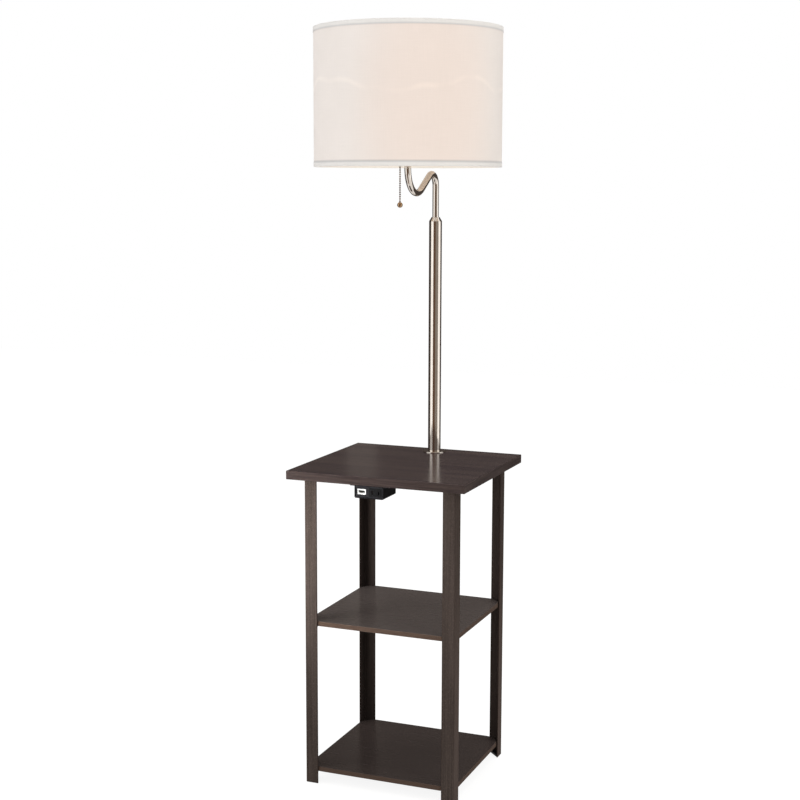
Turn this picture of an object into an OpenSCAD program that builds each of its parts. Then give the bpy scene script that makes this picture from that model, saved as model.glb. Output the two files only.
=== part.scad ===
// Floor lamp standing on a square side table with two shelves.
// Millimetres, +Z up, the floor is z = 0, the front faces -Y, and the origin
// lies on the floor under the middle of the whole footprint.

/* [Tabletop] */
// Width of the tabletop from left to right
top_w = 356; // [330:1:400]
// Depth of the tabletop from front to back
top_d = 336; // [310:1:380]
// Thickness of the tabletop board
top_t = 16.5; // [14:0.5:22]
// Height of the tabletop's upper face above the floor
table_h = 617; // [560:1:680]
// Chamfer along the edges of every board
board_chamfer = 0.8; // [0.4:0.1:1.2]

/* [Legs] */
// Width over the outside of the four legs
frame_w = 305; // [280:1:320]
// Depth over the outside of the four legs
frame_d = 284; // [260:1:300]
// Width of each flange of a leg
leg_flange = 25.4; // [22:0.2:30]
// Sheet thickness of a leg
leg_wall = 2; // [1.5:0.1:2.5]
// Radius inside the bend of a leg
leg_bend_r = 1; // [0.5:0.1:1.5]

/* [Shelves] */
// Thickness of each shelf board
shelf_t = 9.5; // [8.5:0.5:12]
// Height of the middle shelf's upper face above the floor
middle_shelf_h = 323.5; // [250:1:400]
// Height of the bottom shelf's upper face above the floor
bottom_shelf_h = 33.5; // [30:0.5:70]
// Gap between a shelf and the legs round it
shelf_gap = 0.3; // [0.1:0.1:0.8]

/* [Brackets and screws] */
// Sheet thickness of a corner bracket
bracket_t = 1.5; // [1:0.1:2]
// Reach of a bracket under its board
bracket_reach = 20; // [16:0.5:24]
// Height of the side of a bracket that is welded to its leg
bracket_drop = 14; // [10:0.5:16]
// Distance from a bracket's end to the edge of its leg
bracket_edge = 0.9; // [0.5:0.1:3]
// Shank diameter of the board screws
screw_d = 3.5; // [3:0.1:4]
// Head diameter of the board screws
screw_head_d = 7; // [6:0.1:8]
// Head height of the board screws
screw_head_h = 2.2; // [1.8:0.1:2.8]
// Reach of a screw into a shelf
shelf_screw_l = 7; // [5:0.5:7.5]
// Reach of a screw into the tabletop
top_screw_l = 12; // [8:0.5:13]
// Gap round a screw or stud in its hole
hole_gap = 0.05; // [0.03:0.01:0.1]

/* [Pole] */
// Outer diameter of the pole
pole_d = 25.4; // [25:0.2:30]
// Wall of the pole tube
pole_wall = 1.2; // [1:0.1:1.4]
// Distance from the tabletop's back edge to the pole's axis
pole_inset = 34; // [24:1:50]
// Distance of the pole's axis to the right of the table's middle
pole_side = 5; // [-20:1:20]
// Height of the pole's upper rim above the floor
pole_top_h = 1077; // [950:1:1200]
// Diameter of the flange at the foot of the pole
foot_flange_d = 38; // [32:0.5:46]
// Thickness of the flange at the foot of the pole
foot_flange_t = 2; // [1.5:0.1:4]
// Outer diameter of the hollow stud through the tabletop
stud_d = 10; // [8:0.5:12]
// Wall of the hollow studs
stud_wall = 1.5; // [1:0.1:2]
// Depth of the plug in the foot of the pole
plug_h = 15; // [10:1:25]
// Diameter of the washer under the tabletop
clamp_washer_d = 38; // [32:1:50]
// Thickness of the washer under the tabletop
clamp_washer_t = 2; // [1.5:0.1:4]
// Width across the flats of the nut under the tabletop
clamp_nut_af = 17; // [16:0.5:22]
// Height of the nut under the tabletop
clamp_nut_h = 6; // [4:0.5:8]

/* [Swivel] */
// Height of the cone at the head of the pole
cone_h = 8.5; // [6:0.5:16]
// Radial lip of the cone round its bushing
cone_lip = 0.8; // [0.5:0.1:1.5]
// Depth of the cap's body inside the pole
cap_depth = 42; // [36:1:60]
// Thickness of the floor at the bottom of the cap
cap_floor_t = 4; // [3:0.5:6]
// Wall of the nylon bushing
bushing_wall = 1.2; // [0.8:0.1:1.6]
// Radial running clearance of the swivel
run_gap = 0.05; // [0.03:0.01:0.08]
// Turn of the arm from rest to each stop, in degrees
swivel_limit = 165; // [120:5:165]
// Diameter of the stop pin
stop_pin_d = 2; // [1.6:0.1:2.2]
// Thickness of the tabbed stop washer
stop_washer_t = 2; // [1.5:0.1:3]
// Width across the flats of the swivel's lock nut
swivel_nut_af = 14; // [13:0.5:15]
// Height of the swivel's lock nut
swivel_nut_h = 5; // [4:0.5:7]

/* [Arm] */
// Outer diameter of the arm tube
arm_d = 12.7; // [12:0.1:13.5]
// Wall of the arm tube
arm_wall = 1; // [0.8:0.1:1.2]
// Straight rise from the cone to the upper bend
arm_rise = 60.5; // [40:0.5:90]
// Centre line radius of the upper bend
upper_bend_r = 23; // [17:1:28]
// Centre line radius of the lower bend
lower_bend_r = 46; // [34:1:54]
// Angle that each bend turns through, in degrees
arm_bend = 121; // [112:0.5:128]
// Distance from the pole's axis to the lamp head's axis
arm_reach = 148; // [138:1:170]
// Straight rise from the lower bend to the lamp head
arm_upstand = 7; // [6:0.2:20]

/* [Lamp head] */
// Sheet thickness of the harp saddle
saddle_t = 2; // [1.5:0.1:2.5]
// Width of the harp saddle strap
saddle_w = 12; // [10:0.5:14]
// Distance between the two feet of the harp
harp_foot_span = 60; // [54:1:66]
// Height of the harp from the saddle to its top pad
harp_h = 228.6; // [215:0.2:245]
// Wire diameter of the harp
harp_wire_d = 3.6; // [3:0.1:4.5]
// Outer diameter of the lamp socket
socket_d = 34; // [32:0.5:37]
// Height of the lamp socket's cap
socket_cap_h = 20; // [19.5:0.5:26]
// Height of the lamp socket's shell above its cap
socket_shell_h = 42; // [38:1:50]
// Sheet thickness of the socket's cap and shell
socket_wall = 0.8; // [0.6:0.1:1]
// Diameter of the bulb's screw base
bulb_base_d = 26; // [24:0.1:26.5]
// Diameter of the bulb's globe
bulb_d = 60; // [50:1:70]
// Height of the bulb above the socket's rim
bulb_h = 80; // [74:1:100]

/* [Shade] */
// Outer diameter of the shade
shade_d = 352; // [320:1:400]
// Height of the shade
shade_h = 254; // [220:1:262]
// Depth of the harp's top pad below the shade's upper rim
spider_drop = 20.4; // [17:0.2:30]
// Thickness of the shade's fabric
fabric_t = 0.8; // [0.5:0.1:1.2]
// Thickness of the styrene lining
liner_t = 0.6; // [0.4:0.1:1]
// Thickness of the folded hem tape
hem_t = 0.5; // [0.4:0.1:0.8]
// Height of the hem tape on the outside
hem_h = 9; // [7:0.5:16]
// Wire diameter of the shade's rings and spider
ring_wire_d = 3.2; // [2.6:0.1:4]

/* [Pull chain] */
// Distance from the socket's axis to the chain
chain_offset = 24; // [23:0.5:28]
// Direction of the chain, in degrees from the front towards the left
chain_angle = 15; // [0:5:30]
// Diameter of one chain bead
bead_d = 3.2; // [2.4:0.1:3.6]
// Distance from bead to bead
bead_pitch = 4.1; // [4:0.1:5]
// Number of beads that hang below the coupling
bead_count = 16; // [10:1:24]
// Diameter of the ball at the end of the chain
ball_d = 10.4; // [8:0.2:14]
// Travel of the switch when the chain is pulled
switch_travel = 8; // [5:0.5:8]

/* [Power box] */
// Width of the power box
box_w = 58; // [54:1:70]
// Height of the power box
box_h = 24.5; // [23:0.5:30]
// Depth of the power box from front to back
box_depth = 60; // [56:1:80]
// Wall of the power box
box_wall = 2; // [1.5:0.1:2.5]
// Distance from the tabletop's front edge to the power box
box_setback = 4; // [2:0.5:12]
// Distance of the power box's middle to the right of the table's middle
box_side = -10; // [-60:1:60]
// Width of each mounting ear of the power box
ear_w = 9; // [8.5:0.5:14]
// Thickness of each mounting ear
ear_t = 2; // [1.5:0.1:3]

/* [Hidden] */

// Gap between faces that move over each other or would otherwise share a curve
skin_gap = 0.05;
// Gap between flat faces that turn on each other
thrust_gap = 0.1;
// Smallest reach that makes a cut pass right through a face
cut = 0.5;

// Places, first from the table's middle and then from the origin, which is
// the middle of the box round the tabletop and the shade
pole_back = top_d / 2 - pole_inset;
head_back = pole_back - arm_reach;
table_x = -(max(top_w / 2, pole_side + shade_d / 2) + min(-top_w / 2, pole_side - shade_d / 2)) / 2;
table_y = -(max(top_d / 2, head_back + shade_d / 2) + min(-top_d / 2, head_back - shade_d / 2)) / 2;
pole_x = table_x + pole_side;
pole_y = table_y + pole_back;
head_y = table_y + head_back;
top_under = table_h - top_t;

// Rounded bends and turned parts
$fn = 64;
wire_fn = 24;
small_fn = 32;

metal_brown = "#5b4d47";
wood_dark = "#4b403d";
nickel = "#b5afa8";
steel = "#8d8f92";
brass = "#c0a060";
black_plastic = "#26262a";

// ---- Shapes that repeat ----

// Angle section with its corner at the origin and both flanges along the axes
module angle_section(flange_x, flange_y, wall, bend_r) {
    outer_r = bend_r + wall;
    translate([outer_r, 0]) square([flange_x - outer_r, wall]);
    translate([0, outer_r]) square([wall, flange_y - outer_r]);
    translate([outer_r, outer_r]) intersection() {
        difference() {
            circle(r = outer_r);
            circle(r = bend_r);
        }
        translate([-outer_r - cut, -outer_r - cut]) square(outer_r + cut);
    }
}

// Rectangle with round corners, centred
module round_rect(w, h, r) {
    square([w, h - 2 * r], center = true);
    square([w - 2 * r, h], center = true);
    for (x = [-1, 1])
        for (y = [-1, 1])
            translate([x * (w / 2 - r), y * (h / 2 - r)]) circle(r = r, $fn = small_fn);
}

// Rectangle with cut corners, centred
module cut_rect(w, h, c) {
    polygon([
        [-w / 2 + c, -h / 2], [w / 2 - c, -h / 2], [w / 2, -h / 2 + c], [w / 2, h / 2 - c],
        [w / 2 - c, h / 2], [-w / 2 + c, h / 2], [-w / 2, h / 2 - c], [-w / 2, -h / 2 + c]
    ]);
}

// Board with chamfered edges, centred in plan, with its top face at z = 0
module eased_board(w, d, t) {
    translate([0, 0, -t / 2]) intersection() {
        linear_extrude(t, center = true) cut_rect(w, d, board_chamfer);
        rotate([90, 0, 0]) linear_extrude(d, center = true) cut_rect(w, t, board_chamfer);
        rotate([90, 0, 90]) linear_extrude(w, center = true) cut_rect(d, t, board_chamfer);
    }
}

module ring(outer_r, inner_r, h) {
    difference() {
        cylinder(h = h, r = outer_r);
        translate([0, 0, -cut]) cylinder(h = h + 2 * cut, r = inner_r);
    }
}

// Hexagonal nut with a round bore and turned corners
module hex_nut(af, h, bore_r) {
    corner_r = af / 2 / cos(30);
    turn = (corner_r - af / 2) / 2;
    difference() {
        intersection() {
            cylinder(h = h, r = corner_r, $fn = 6);
            rotate_extrude() polygon([
                [0, 0], [corner_r - turn, 0], [corner_r, turn], [corner_r, h - turn],
                [corner_r - turn, h], [0, h]
            ]);
        }
        translate([0, 0, -cut]) cylinder(h = h + 2 * cut, r = bore_r);
    }
}

// Pan head screw that points up, with the top of its head at z = 0
module pan_screw(length) {
    slot_w = screw_head_d / 7;
    slot_l = screw_head_d / 2;
    slot_h = screw_head_h / 2;
    difference() {
        union() {
            cylinder(h = length, r = screw_d / 2, $fn = small_fn);
            rotate_extrude($fn = small_fn) intersection() {
                translate([0, -screw_head_h]) square([screw_head_d / 2, screw_head_h]);
                translate([0, screw_head_d / 2 - screw_head_h]) circle(r = screw_head_d / 2 * 1.12);
            }
        }
        for (a = [0, 90])
            rotate([0, 0, a]) translate([-slot_l / 2, -slot_w / 2, -screw_head_h - cut])
                cube([slot_l, slot_w, slot_h + cut]);
    }
}

// Places a child at each corner of the leg frame, mirrored so that its
// flanges run inwards along +X and +Y
module at_corners() {
    for (side = [0, 1])
        for (end = [0, 1])
            at_corner(side, end) children();
}

module at_corner(side, end) {
    translate([table_x, table_y, 0]) mirror([side, 0, 0]) mirror([0, end, 0])
        translate([-frame_w / 2, -frame_d / 2, 0]) children();
}

module at_head() {
    translate([pole_x, head_y, 0]) children();
}

module at_pole() {
    translate([pole_x, pole_y, 0]) children();
}

// ---- Table ----

bracket_x = leg_wall + leg_bend_r;
bracket_w = leg_flange - bracket_x - bracket_edge;
screw_x = bracket_x + bracket_w / 2;
screw_y = leg_wall + bracket_t + (bracket_reach - bracket_t) / 2;
hole_tip = 0.5;

module screw_holes(board_under, length) {
    at_corners() translate([screw_x, screw_y, board_under - cut])
        cylinder(h = length + hole_tip + cut, r = screw_d / 2 + hole_gap, $fn = small_fn);
}

module tabletop() {
    color(wood_dark) difference() {
        translate([table_x, table_y, table_h]) eased_board(top_w, top_d, top_t);
        at_pole() translate([0, 0, top_under - cut])
            cylinder(h = top_t + 2 * cut, r = stud_d / 2 + hole_gap);
        screw_holes(top_under, top_screw_l - bracket_t);
        ear_places() translate([0, 0, top_under - cut])
            cylinder(h = ear_screw_l - ear_t + hole_tip + cut, r = screw_d / 2 + hole_gap, $fn = small_fn);
    }
}

module leg(side, end) {
    color(metal_brown) at_corner(side, end)
        linear_extrude(top_under) angle_section(leg_flange, leg_flange, leg_wall, leg_bend_r);
}

module leg_front_left() { leg(0, 0); }
module leg_front_right() { leg(1, 0); }
module leg_back_left() { leg(0, 1); }
module leg_back_right() { leg(1, 1); }

shelf_w = frame_w - 2 * (leg_wall + shelf_gap);
shelf_d = frame_d - 2 * (leg_wall + shelf_gap);
shelf_notch = leg_bend_r + board_chamfer;

module shelf(upper) {
    color(metal_brown) difference() {
        translate([table_x, table_y, upper]) eased_board(shelf_w, shelf_d, shelf_t);
        at_corners() translate([leg_wall, leg_wall, upper - shelf_t - cut])
            rotate([0, 0, 45]) translate([-shelf_notch, -shelf_notch, 0])
                cube([2 * shelf_notch, 2 * shelf_notch, shelf_t + 2 * cut]);
        screw_holes(upper - shelf_t, shelf_screw_l);
    }
}

module middle_shelf() { shelf(middle_shelf_h); }
module bottom_shelf() { shelf(bottom_shelf_h); }

// Four bent brackets whose flat sides touch a board from below
module brackets(board_under) {
    color(metal_brown) at_corners() difference() {
        translate([bracket_x, leg_wall, board_under]) rotate([0, 90, 0])
            linear_extrude(bracket_w)
                angle_section(bracket_drop, bracket_reach, bracket_t, bracket_t / 2);
        translate([screw_x, screw_y, board_under - bracket_t - cut])
            cylinder(h = bracket_t + 2 * cut, r = screw_d / 2 + hole_gap, $fn = small_fn);
    }
}

module tabletop_brackets() { brackets(top_under); }
module middle_shelf_brackets() { brackets(middle_shelf_h - shelf_t); }
module bottom_shelf_brackets() { brackets(bottom_shelf_h - shelf_t); }

module board_screws(board_under, length) {
    color(steel) at_corners() translate([screw_x, screw_y, board_under - bracket_t])
        pan_screw(length + bracket_t);
}

module tabletop_screws() { board_screws(top_under, top_screw_l - bracket_t); }
module middle_shelf_screws() { board_screws(middle_shelf_h - shelf_t, shelf_screw_l); }
module bottom_shelf_screws() { board_screws(bottom_shelf_h - shelf_t, shelf_screw_l); }

// ---- Pole ----

pole_bore_r = pole_d / 2 - pole_wall;
pole_foot_h = table_h + foot_flange_t;
stud_tail = 3;

module pole_tube() {
    color(nickel) at_pole() translate([0, 0, pole_foot_h])
        ring(pole_d / 2, pole_bore_r, pole_top_h - pole_foot_h);
}

module pole_foot_flange() {
    edge_r = foot_flange_t / 2;
    color(nickel) at_pole() translate([0, 0, table_h]) difference() {
        rotate_extrude() {
            square([foot_flange_d / 2 - edge_r, foot_flange_t]);
            square([foot_flange_d / 2, foot_flange_t - edge_r]);
            translate([foot_flange_d / 2 - edge_r, foot_flange_t - edge_r])
                circle(r = edge_r, $fn = small_fn);
        }
        translate([0, 0, -cut])
            cylinder(h = foot_flange_t + 2 * cut, r = stud_d / 2 + hole_gap);
    }
}

module pole_foot_plug() {
    color(steel) at_pole() translate([0, 0, pole_foot_h])
        ring(pole_bore_r - skin_gap, stud_d / 2 + hole_gap, plug_h);
}

module pole_stud() {
    low = top_under - clamp_washer_t - clamp_nut_h - stud_tail;
    color(steel) at_pole() translate([0, 0, low])
        ring(stud_d / 2, stud_d / 2 - stud_wall, pole_foot_h + plug_h - low);
}

module clamp_washer() {
    color(steel) at_pole() translate([0, 0, top_under - clamp_washer_t])
        ring(clamp_washer_d / 2, stud_d / 2 + hole_gap, clamp_washer_t);
}

module clamp_nut() {
    color(steel) at_pole() translate([0, 0, top_under - clamp_washer_t - clamp_nut_h])
        hex_nut(clamp_nut_af, clamp_nut_h, stud_d / 2 + hole_gap);
}

// ---- Swivel at the head of the pole ----

bushing_r = arm_d / 2 + run_gap + bushing_wall;
cone_top = pole_top_h + cone_h;
cap_low = pole_top_h - cap_depth;
cap_floor = cap_low + cap_floor_t;
arm_low = cap_floor + thrust_gap;
swivel_stud_r = arm_d / 2 - arm_wall - skin_gap;
swivel_engage = 14;
stop_washer_top = cap_low - thrust_gap;
// The pin hangs beside the stop washer, and the washer's tab meets it
stop_washer_r = swivel_stud_r + 2;
stop_pin_ring_r = stop_washer_r + stop_pin_d / 2 + 0.4;
stop_tab_r = stop_pin_ring_r + stop_pin_d / 4;
stop_pin_half = asin(stop_pin_d / 2 / stop_pin_ring_r);
stop_play = 1.5;
stop_tab_half = 180 - swivel_limit - stop_pin_half - stop_play;
stop_pin_grip = 2.8;
cone_edge = 0.7;

// The stop pin stands behind the axis, opposite the washer's tab
module at_stop_pin() {
    translate([0, stop_pin_ring_r, 0]) children();
}

module pole_cone_cap() {
    mouth_r = bushing_r + skin_gap;
    color(nickel) at_pole() difference() {
        rotate_extrude() difference() {
            polygon([
                [0, cap_low], [pole_bore_r - skin_gap, cap_low],
                [pole_bore_r - skin_gap, pole_top_h], [pole_d / 2, pole_top_h],
                [pole_d / 2, pole_top_h + cone_edge], [mouth_r + cone_lip, cone_top - cone_edge],
                [mouth_r + cone_lip, cone_top], [0, cone_top]
            ]);
            translate([0, cap_floor]) square([mouth_r, cone_top - cap_floor + cut]);
            translate([0, cap_low - cut]) square([swivel_stud_r + run_gap, cap_floor_t + 2 * cut]);
        }
        at_stop_pin() translate([0, 0, cap_low - cut])
            cylinder(h = stop_pin_grip + cut, r = stop_pin_d / 2 + hole_gap, $fn = small_fn);
    }
}

module swivel_bushing() {
    color("ivory") at_pole() translate([0, 0, cap_floor])
        ring(bushing_r, arm_d / 2 + run_gap, cone_top - cap_floor);
}

module swivel_stop_pin() {
    low = stop_washer_top - stop_washer_t;
    color(steel) at_pole() at_stop_pin() translate([0, 0, low])
        cylinder(h = cap_low + stop_pin_grip - low, r = stop_pin_d / 2, $fn = small_fn);
}

module swivel_stud() {
    low = stop_washer_top - stop_washer_t - swivel_nut_h - 1;
    color(steel) at_pole() translate([0, 0, low])
        ring(swivel_stud_r, swivel_stud_r - stud_wall, arm_low + swivel_engage - low);
}

module swivel_stop_washer() {
    color(steel) at_pole() translate([0, 0, stop_washer_top - stop_washer_t]) difference() {
        union() {
            cylinder(h = stop_washer_t, r = stop_washer_r);
            rotate([0, 0, -90]) linear_extrude(stop_washer_t) intersection() {
                circle(r = stop_tab_r);
                polygon([
                    [0, 0], [2 * stop_tab_r, -2 * stop_tab_r * tan(stop_tab_half)],
                    [2 * stop_tab_r, 2 * stop_tab_r * tan(stop_tab_half)]
                ]);
            }
        }
        translate([0, 0, -cut]) cylinder(h = stop_washer_t + 2 * cut, r = swivel_stud_r + hole_gap);
    }
}

module swivel_lock_nut() {
    color(steel) at_pole() translate([0, 0, stop_washer_top - stop_washer_t - swivel_nut_h])
        hex_nut(swivel_nut_af, swivel_nut_h, swivel_stud_r + hole_gap);
}

// ---- Arm ----

// Heights along the arm's centre line
bend_start_h = cone_top + arm_rise;
slant = (arm_reach - (1 - cos(arm_bend)) * (upper_bend_r + lower_bend_r)) / sin(arm_bend);
slant_x = upper_bend_r * (1 - cos(arm_bend));
slant_h = bend_start_h + upper_bend_r * sin(arm_bend);
lower_centre_h = slant_h + slant * cos(arm_bend) + lower_bend_r * sin(arm_bend);
arm_top = lower_centre_h + arm_upstand;

// A bend is this much fuller than its straights, which lap into it, so that
// no two round faces are tangent where they meet
bend_swell = 0.05;
bend_lap = 0.6;

// Torus arc in the XZ plane about its own centre, from one angle to another
module arc_bend(centre_r, from, to, r, sides) {
    rotate([90, 0, 0]) rotate([0, 0, from]) rotate_extrude(angle = to - from)
        translate([centre_r, 0]) circle(r = r, $fn = sides);
}

// Solid of the given radius along the arm's centre line, which runs along +X
module arm_core(r, over) {
    bend_r = r + bend_swell;
    translate([0, 0, arm_low - over])
        cylinder(h = bend_start_h - arm_low + over + bend_lap, r = r);
    translate([upper_bend_r, 0, bend_start_h])
        arc_bend(upper_bend_r, 180 - arm_bend, 180, bend_r, $fn);
    translate([slant_x, 0, slant_h]) rotate([0, arm_bend, 0]) translate([0, 0, -bend_lap])
        cylinder(h = slant + 2 * bend_lap, r = r);
    translate([arm_reach - lower_bend_r, 0, lower_centre_h])
        arc_bend(lower_bend_r, -arm_bend, 0, bend_r, $fn);
    translate([arm_reach, 0, lower_centre_h - bend_lap])
        cylinder(h = arm_upstand + over + bend_lap, r = r);
}

module arm_tube() {
    color(nickel) at_pole() rotate([0, 0, -90]) difference() {
        arm_core(arm_d / 2, 0);
        arm_core(arm_d / 2 - arm_wall, cut);
    }
}

// ---- Lamp head ----

nipple_engage = 12;
saddle_top = arm_top + saddle_t;
cap_boss_h = 5;
cap_boss_r = 8;
socket_low = saddle_top;
cap_top = socket_low + socket_cap_h;
socket_top = cap_top + socket_shell_h;
socket_r = socket_d / 2;
cap_lap = 3.5;

module head_nipple() {
    color(steel) at_head() translate([0, 0, arm_top - nipple_engage])
        ring(swivel_stud_r, swivel_stud_r - stud_wall, nipple_engage + saddle_t + cap_boss_h + 2);
}

harp_foot_x = harp_foot_span / 2;
peg_r = 1.6;
peg_h = 9;
ferrule_h = 12;
ferrule_r = harp_wire_d / 2 + 1.3;

// Flat strap with a round pad in the middle and a peg at each end
module harp_saddle() {
    color(nickel) at_head() translate([0, 0, arm_top]) {
        difference() {
            union() {
                linear_extrude(saddle_t) {
                    square([harp_foot_span, saddle_w], center = true);
                    circle(r = cap_boss_r + 1);
                    for (x = [-1, 1]) translate([x * harp_foot_x, 0]) circle(r = saddle_w / 2);
                }
                for (x = [-1, 1]) translate([x * harp_foot_x, 0, 0])
                    cylinder(h = saddle_t + peg_h, r = peg_r, $fn = small_fn);
            }
            translate([0, 0, -cut]) cylinder(h = saddle_t + 2 * cut, r = swivel_stud_r + hole_gap);
        }
    }
}

// Turned cup with a boss below and a lap that the shell drops into
module socket_cap() {
    color(nickel) at_head() translate([0, 0, socket_low]) difference() {
        rotate_extrude() difference() {
            union() {
                square([cap_boss_r, cap_boss_h + socket_wall]);
                translate([0, cap_boss_h]) square([socket_r - 4, socket_cap_h - cap_boss_h]);
                translate([0, cap_boss_h + 4]) square([socket_r + socket_wall, socket_cap_h - cap_boss_h - 4]);
                translate([socket_r + socket_wall - 4, cap_boss_h + 4]) circle(r = 4);
            }
            translate([0, cap_boss_h + socket_wall])
                square([socket_r - 4, socket_cap_h - cap_boss_h]);
            translate([0, cap_boss_h + 4]) square([socket_r, socket_cap_h - cap_boss_h]);
            translate([0, -cut]) square([swivel_stud_r + hole_gap, cap_boss_h + 2 * cut + socket_wall]);
        }
        chain_side() translate([0, 0, guide_h - socket_low]) rotate([0, 90, 0])
            cylinder(h = socket_d, r = guide_arm_r + skin_gap, $fn = small_fn);
    }
}

module socket_shell() {
    low = cap_top - cap_lap;
    bead_h = 3;
    color(nickel) at_head() rotate_extrude() difference() {
        union() {
            translate([0, low]) square([socket_r - skin_gap, socket_top - low]);
            translate([socket_r - 1, socket_top - bead_h]) circle(r = bead_h / 2 + 0.2, $fn = small_fn);
        }
        translate([0, low - cut]) square([socket_r - socket_wall - skin_gap, socket_top - low + 2 * cut]);
    }
}

screw_shell_wall = 0.5;
screw_shell_r = bulb_base_d / 2 + 0.6;
body_r = socket_r - socket_wall - 2 * skin_gap;
body_floor_h = cap_top + 6;

// Phenolic body that carries the switch and the screw shell
module socket_body() {
    body_low = socket_low + cap_boss_h + socket_wall + 4;
    neck_r = guide_inner_r - 1;
    color(black_plastic) at_head() rotate_extrude() difference() {
        union() {
            translate([0, body_low]) square([neck_r, cap_top - body_low]);
            translate([0, cap_top - cap_lap]) square([body_r, socket_top - cap_top + cap_lap - 3.4]);
        }
        translate([0, body_floor_h]) square([screw_shell_r + screw_shell_wall + skin_gap, socket_top]);
    }
}

module socket_screw_shell() {
    color(brass) at_head() translate([0, 0, body_floor_h]) {
        ring(screw_shell_r + screw_shell_wall, screw_shell_r, socket_top - body_floor_h - 4);
        cylinder(h = 1, r = 4);
    }
}

// Side outlet that turns the chain down
guide_h = socket_low + cap_boss_h + 7.5;
guide_arm_r = 3.2;
guide_inner_r = socket_r - 3;
guide_bore_r = bead_d / 2 + 0.4;
guide_r = guide_bore_r + 1;
guide_low = guide_h - 7;

module chain_side() {
    rotate([0, 0, -90 - chain_angle]) children();
}

module at_chain() {
    at_head() chain_side() translate([chain_offset, 0, 0]) children();
}

module chain_guide() {
    color(nickel) at_head() chain_side() difference() {
        union() {
            translate([guide_inner_r, 0, guide_h]) rotate([0, 90, 0])
                cylinder(h = chain_offset - guide_inner_r, r = guide_arm_r, $fn = small_fn);
            translate([chain_offset, 0, guide_h]) sphere(r = guide_arm_r, $fn = small_fn);
            translate([chain_offset, 0, 0]) rotate_extrude($fn = small_fn) polygon([
                [0, guide_h], [guide_r, guide_h], [guide_r, guide_low + 2],
                [guide_r + 1, guide_low], [0, guide_low]
            ]);
        }
        translate([chain_offset, 0, guide_low - cut])
            cylinder(h = guide_h - guide_low + cut, r = guide_bore_r, $fn = small_fn);
    }
}

// Harp: straight ferrules, two bowed sides and two corner bends up to a pad
harp_lean = 28;
harp_close = 30;
harp_corner_r = 25;
harp_low = saddle_top + ferrule_h;
harp_top = arm_top + harp_h;
harp_pad_t = 2;
harp_bar_h = harp_top - harp_wire_d / 2 - 0.2;
harp_rise = harp_bar_h - harp_low;
harp_bow_r = (harp_rise - harp_corner_r * (1 - sin(harp_close))) / (sin(harp_lean) + sin(harp_close));
harp_bow_x = harp_foot_x - harp_bow_r * cos(harp_lean);
harp_corner_x = harp_bow_x + (harp_bow_r - harp_corner_r) * cos(harp_close);
// The ferrule rises round the leaning end of the wire
ferrule_cover = 1.2;

module harp_side() {
    wire_r = harp_wire_d / 2;
    translate([harp_bow_x, 0, harp_low + harp_bow_r * sin(harp_lean)])
        arc_bend(harp_bow_r, -harp_lean, harp_close, wire_r, wire_fn);
    translate([harp_corner_x, 0, harp_bar_h - harp_corner_r])
        arc_bend(harp_corner_r, harp_close - 1, 90, wire_r + bend_swell, wire_fn);
    translate([harp_foot_x, 0, saddle_top]) difference() {
        cylinder(h = ferrule_h + ferrule_cover, r = ferrule_r, $fn = small_fn);
        translate([0, 0, -cut])
            cylinder(h = peg_h + 2 * cut, r = peg_r + skin_gap, $fn = small_fn);
    }
}

harp_pad_r = 8;
harp_stud_r = 3.1;
hub_t = 2;
harp_stud_h = 11;

module harp() {
    color(nickel) at_head() {
        harp_side();
        mirror([1, 0, 0]) harp_side();
        translate([-harp_corner_x - bend_lap, 0, harp_bar_h]) rotate([0, 90, 0])
            cylinder(h = 2 * (harp_corner_x + bend_lap), r = harp_wire_d / 2, $fn = wire_fn);
        translate([0, 0, harp_top - harp_pad_t]) cylinder(h = harp_pad_t, r = harp_pad_r);
        translate([0, 0, harp_top]) cylinder(h = harp_stud_h, r = harp_stud_r, $fn = small_fn);
    }
}

finial_h = 17;
finial_r = 6;

// Turned knob that clamps the spider's hub on the harp
module finial() {
    color(nickel) at_head() translate([0, 0, harp_top + hub_t]) difference() {
        rotate_extrude() {
            square([finial_r, 2]);
            square([finial_r - 2, 7]);
            intersection() {
                translate([0, finial_h - finial_r]) circle(r = finial_r);
                square([finial_r, finial_h]);
            }
        }
        translate([0, 0, -cut]) cylinder(h = harp_stud_h - hub_t + 2 * cut, r = harp_stud_r + hole_gap);
    }
}

// ---- Shade ----

shade_top = harp_top + spider_drop;
shade_low = shade_top - shade_h;
shade_r = shade_d / 2;
fabric_r = shade_r - hem_t - skin_gap;
liner_r = fabric_r - fabric_t - skin_gap;
liner_inner_r = liner_r - liner_t;
ring_wire_r = ring_wire_d / 2;
ring_r = liner_inner_r - skin_gap - ring_wire_r;
hem_inner_r = ring_r - ring_wire_r - skin_gap - hem_t;
top_ring_h = shade_top - hem_t - skin_gap - ring_wire_r;
bottom_ring_h = shade_low + hem_t + skin_gap + ring_wire_r;

module wall_tube(outer_r, wall) {
    color("linen") at_head() translate([0, 0, shade_low + hem_t + skin_gap])
        ring(outer_r, outer_r - wall, shade_h - 2 * (hem_t + skin_gap), $fn = 128);
}

module shade_fabric() { wall_tube(fabric_r, fabric_t); }
module shade_liner() { wall_tube(liner_r, liner_t); }

module wire_ring(h) {
    color(nickel) at_head() translate([0, 0, h]) rotate_extrude($fn = 96)
        translate([ring_r, 0]) circle(r = ring_wire_r, $fn = wire_fn);
}

module shade_top_ring() { wire_ring(top_ring_h); }
module shade_bottom_ring() { wire_ring(bottom_ring_h); }

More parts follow.
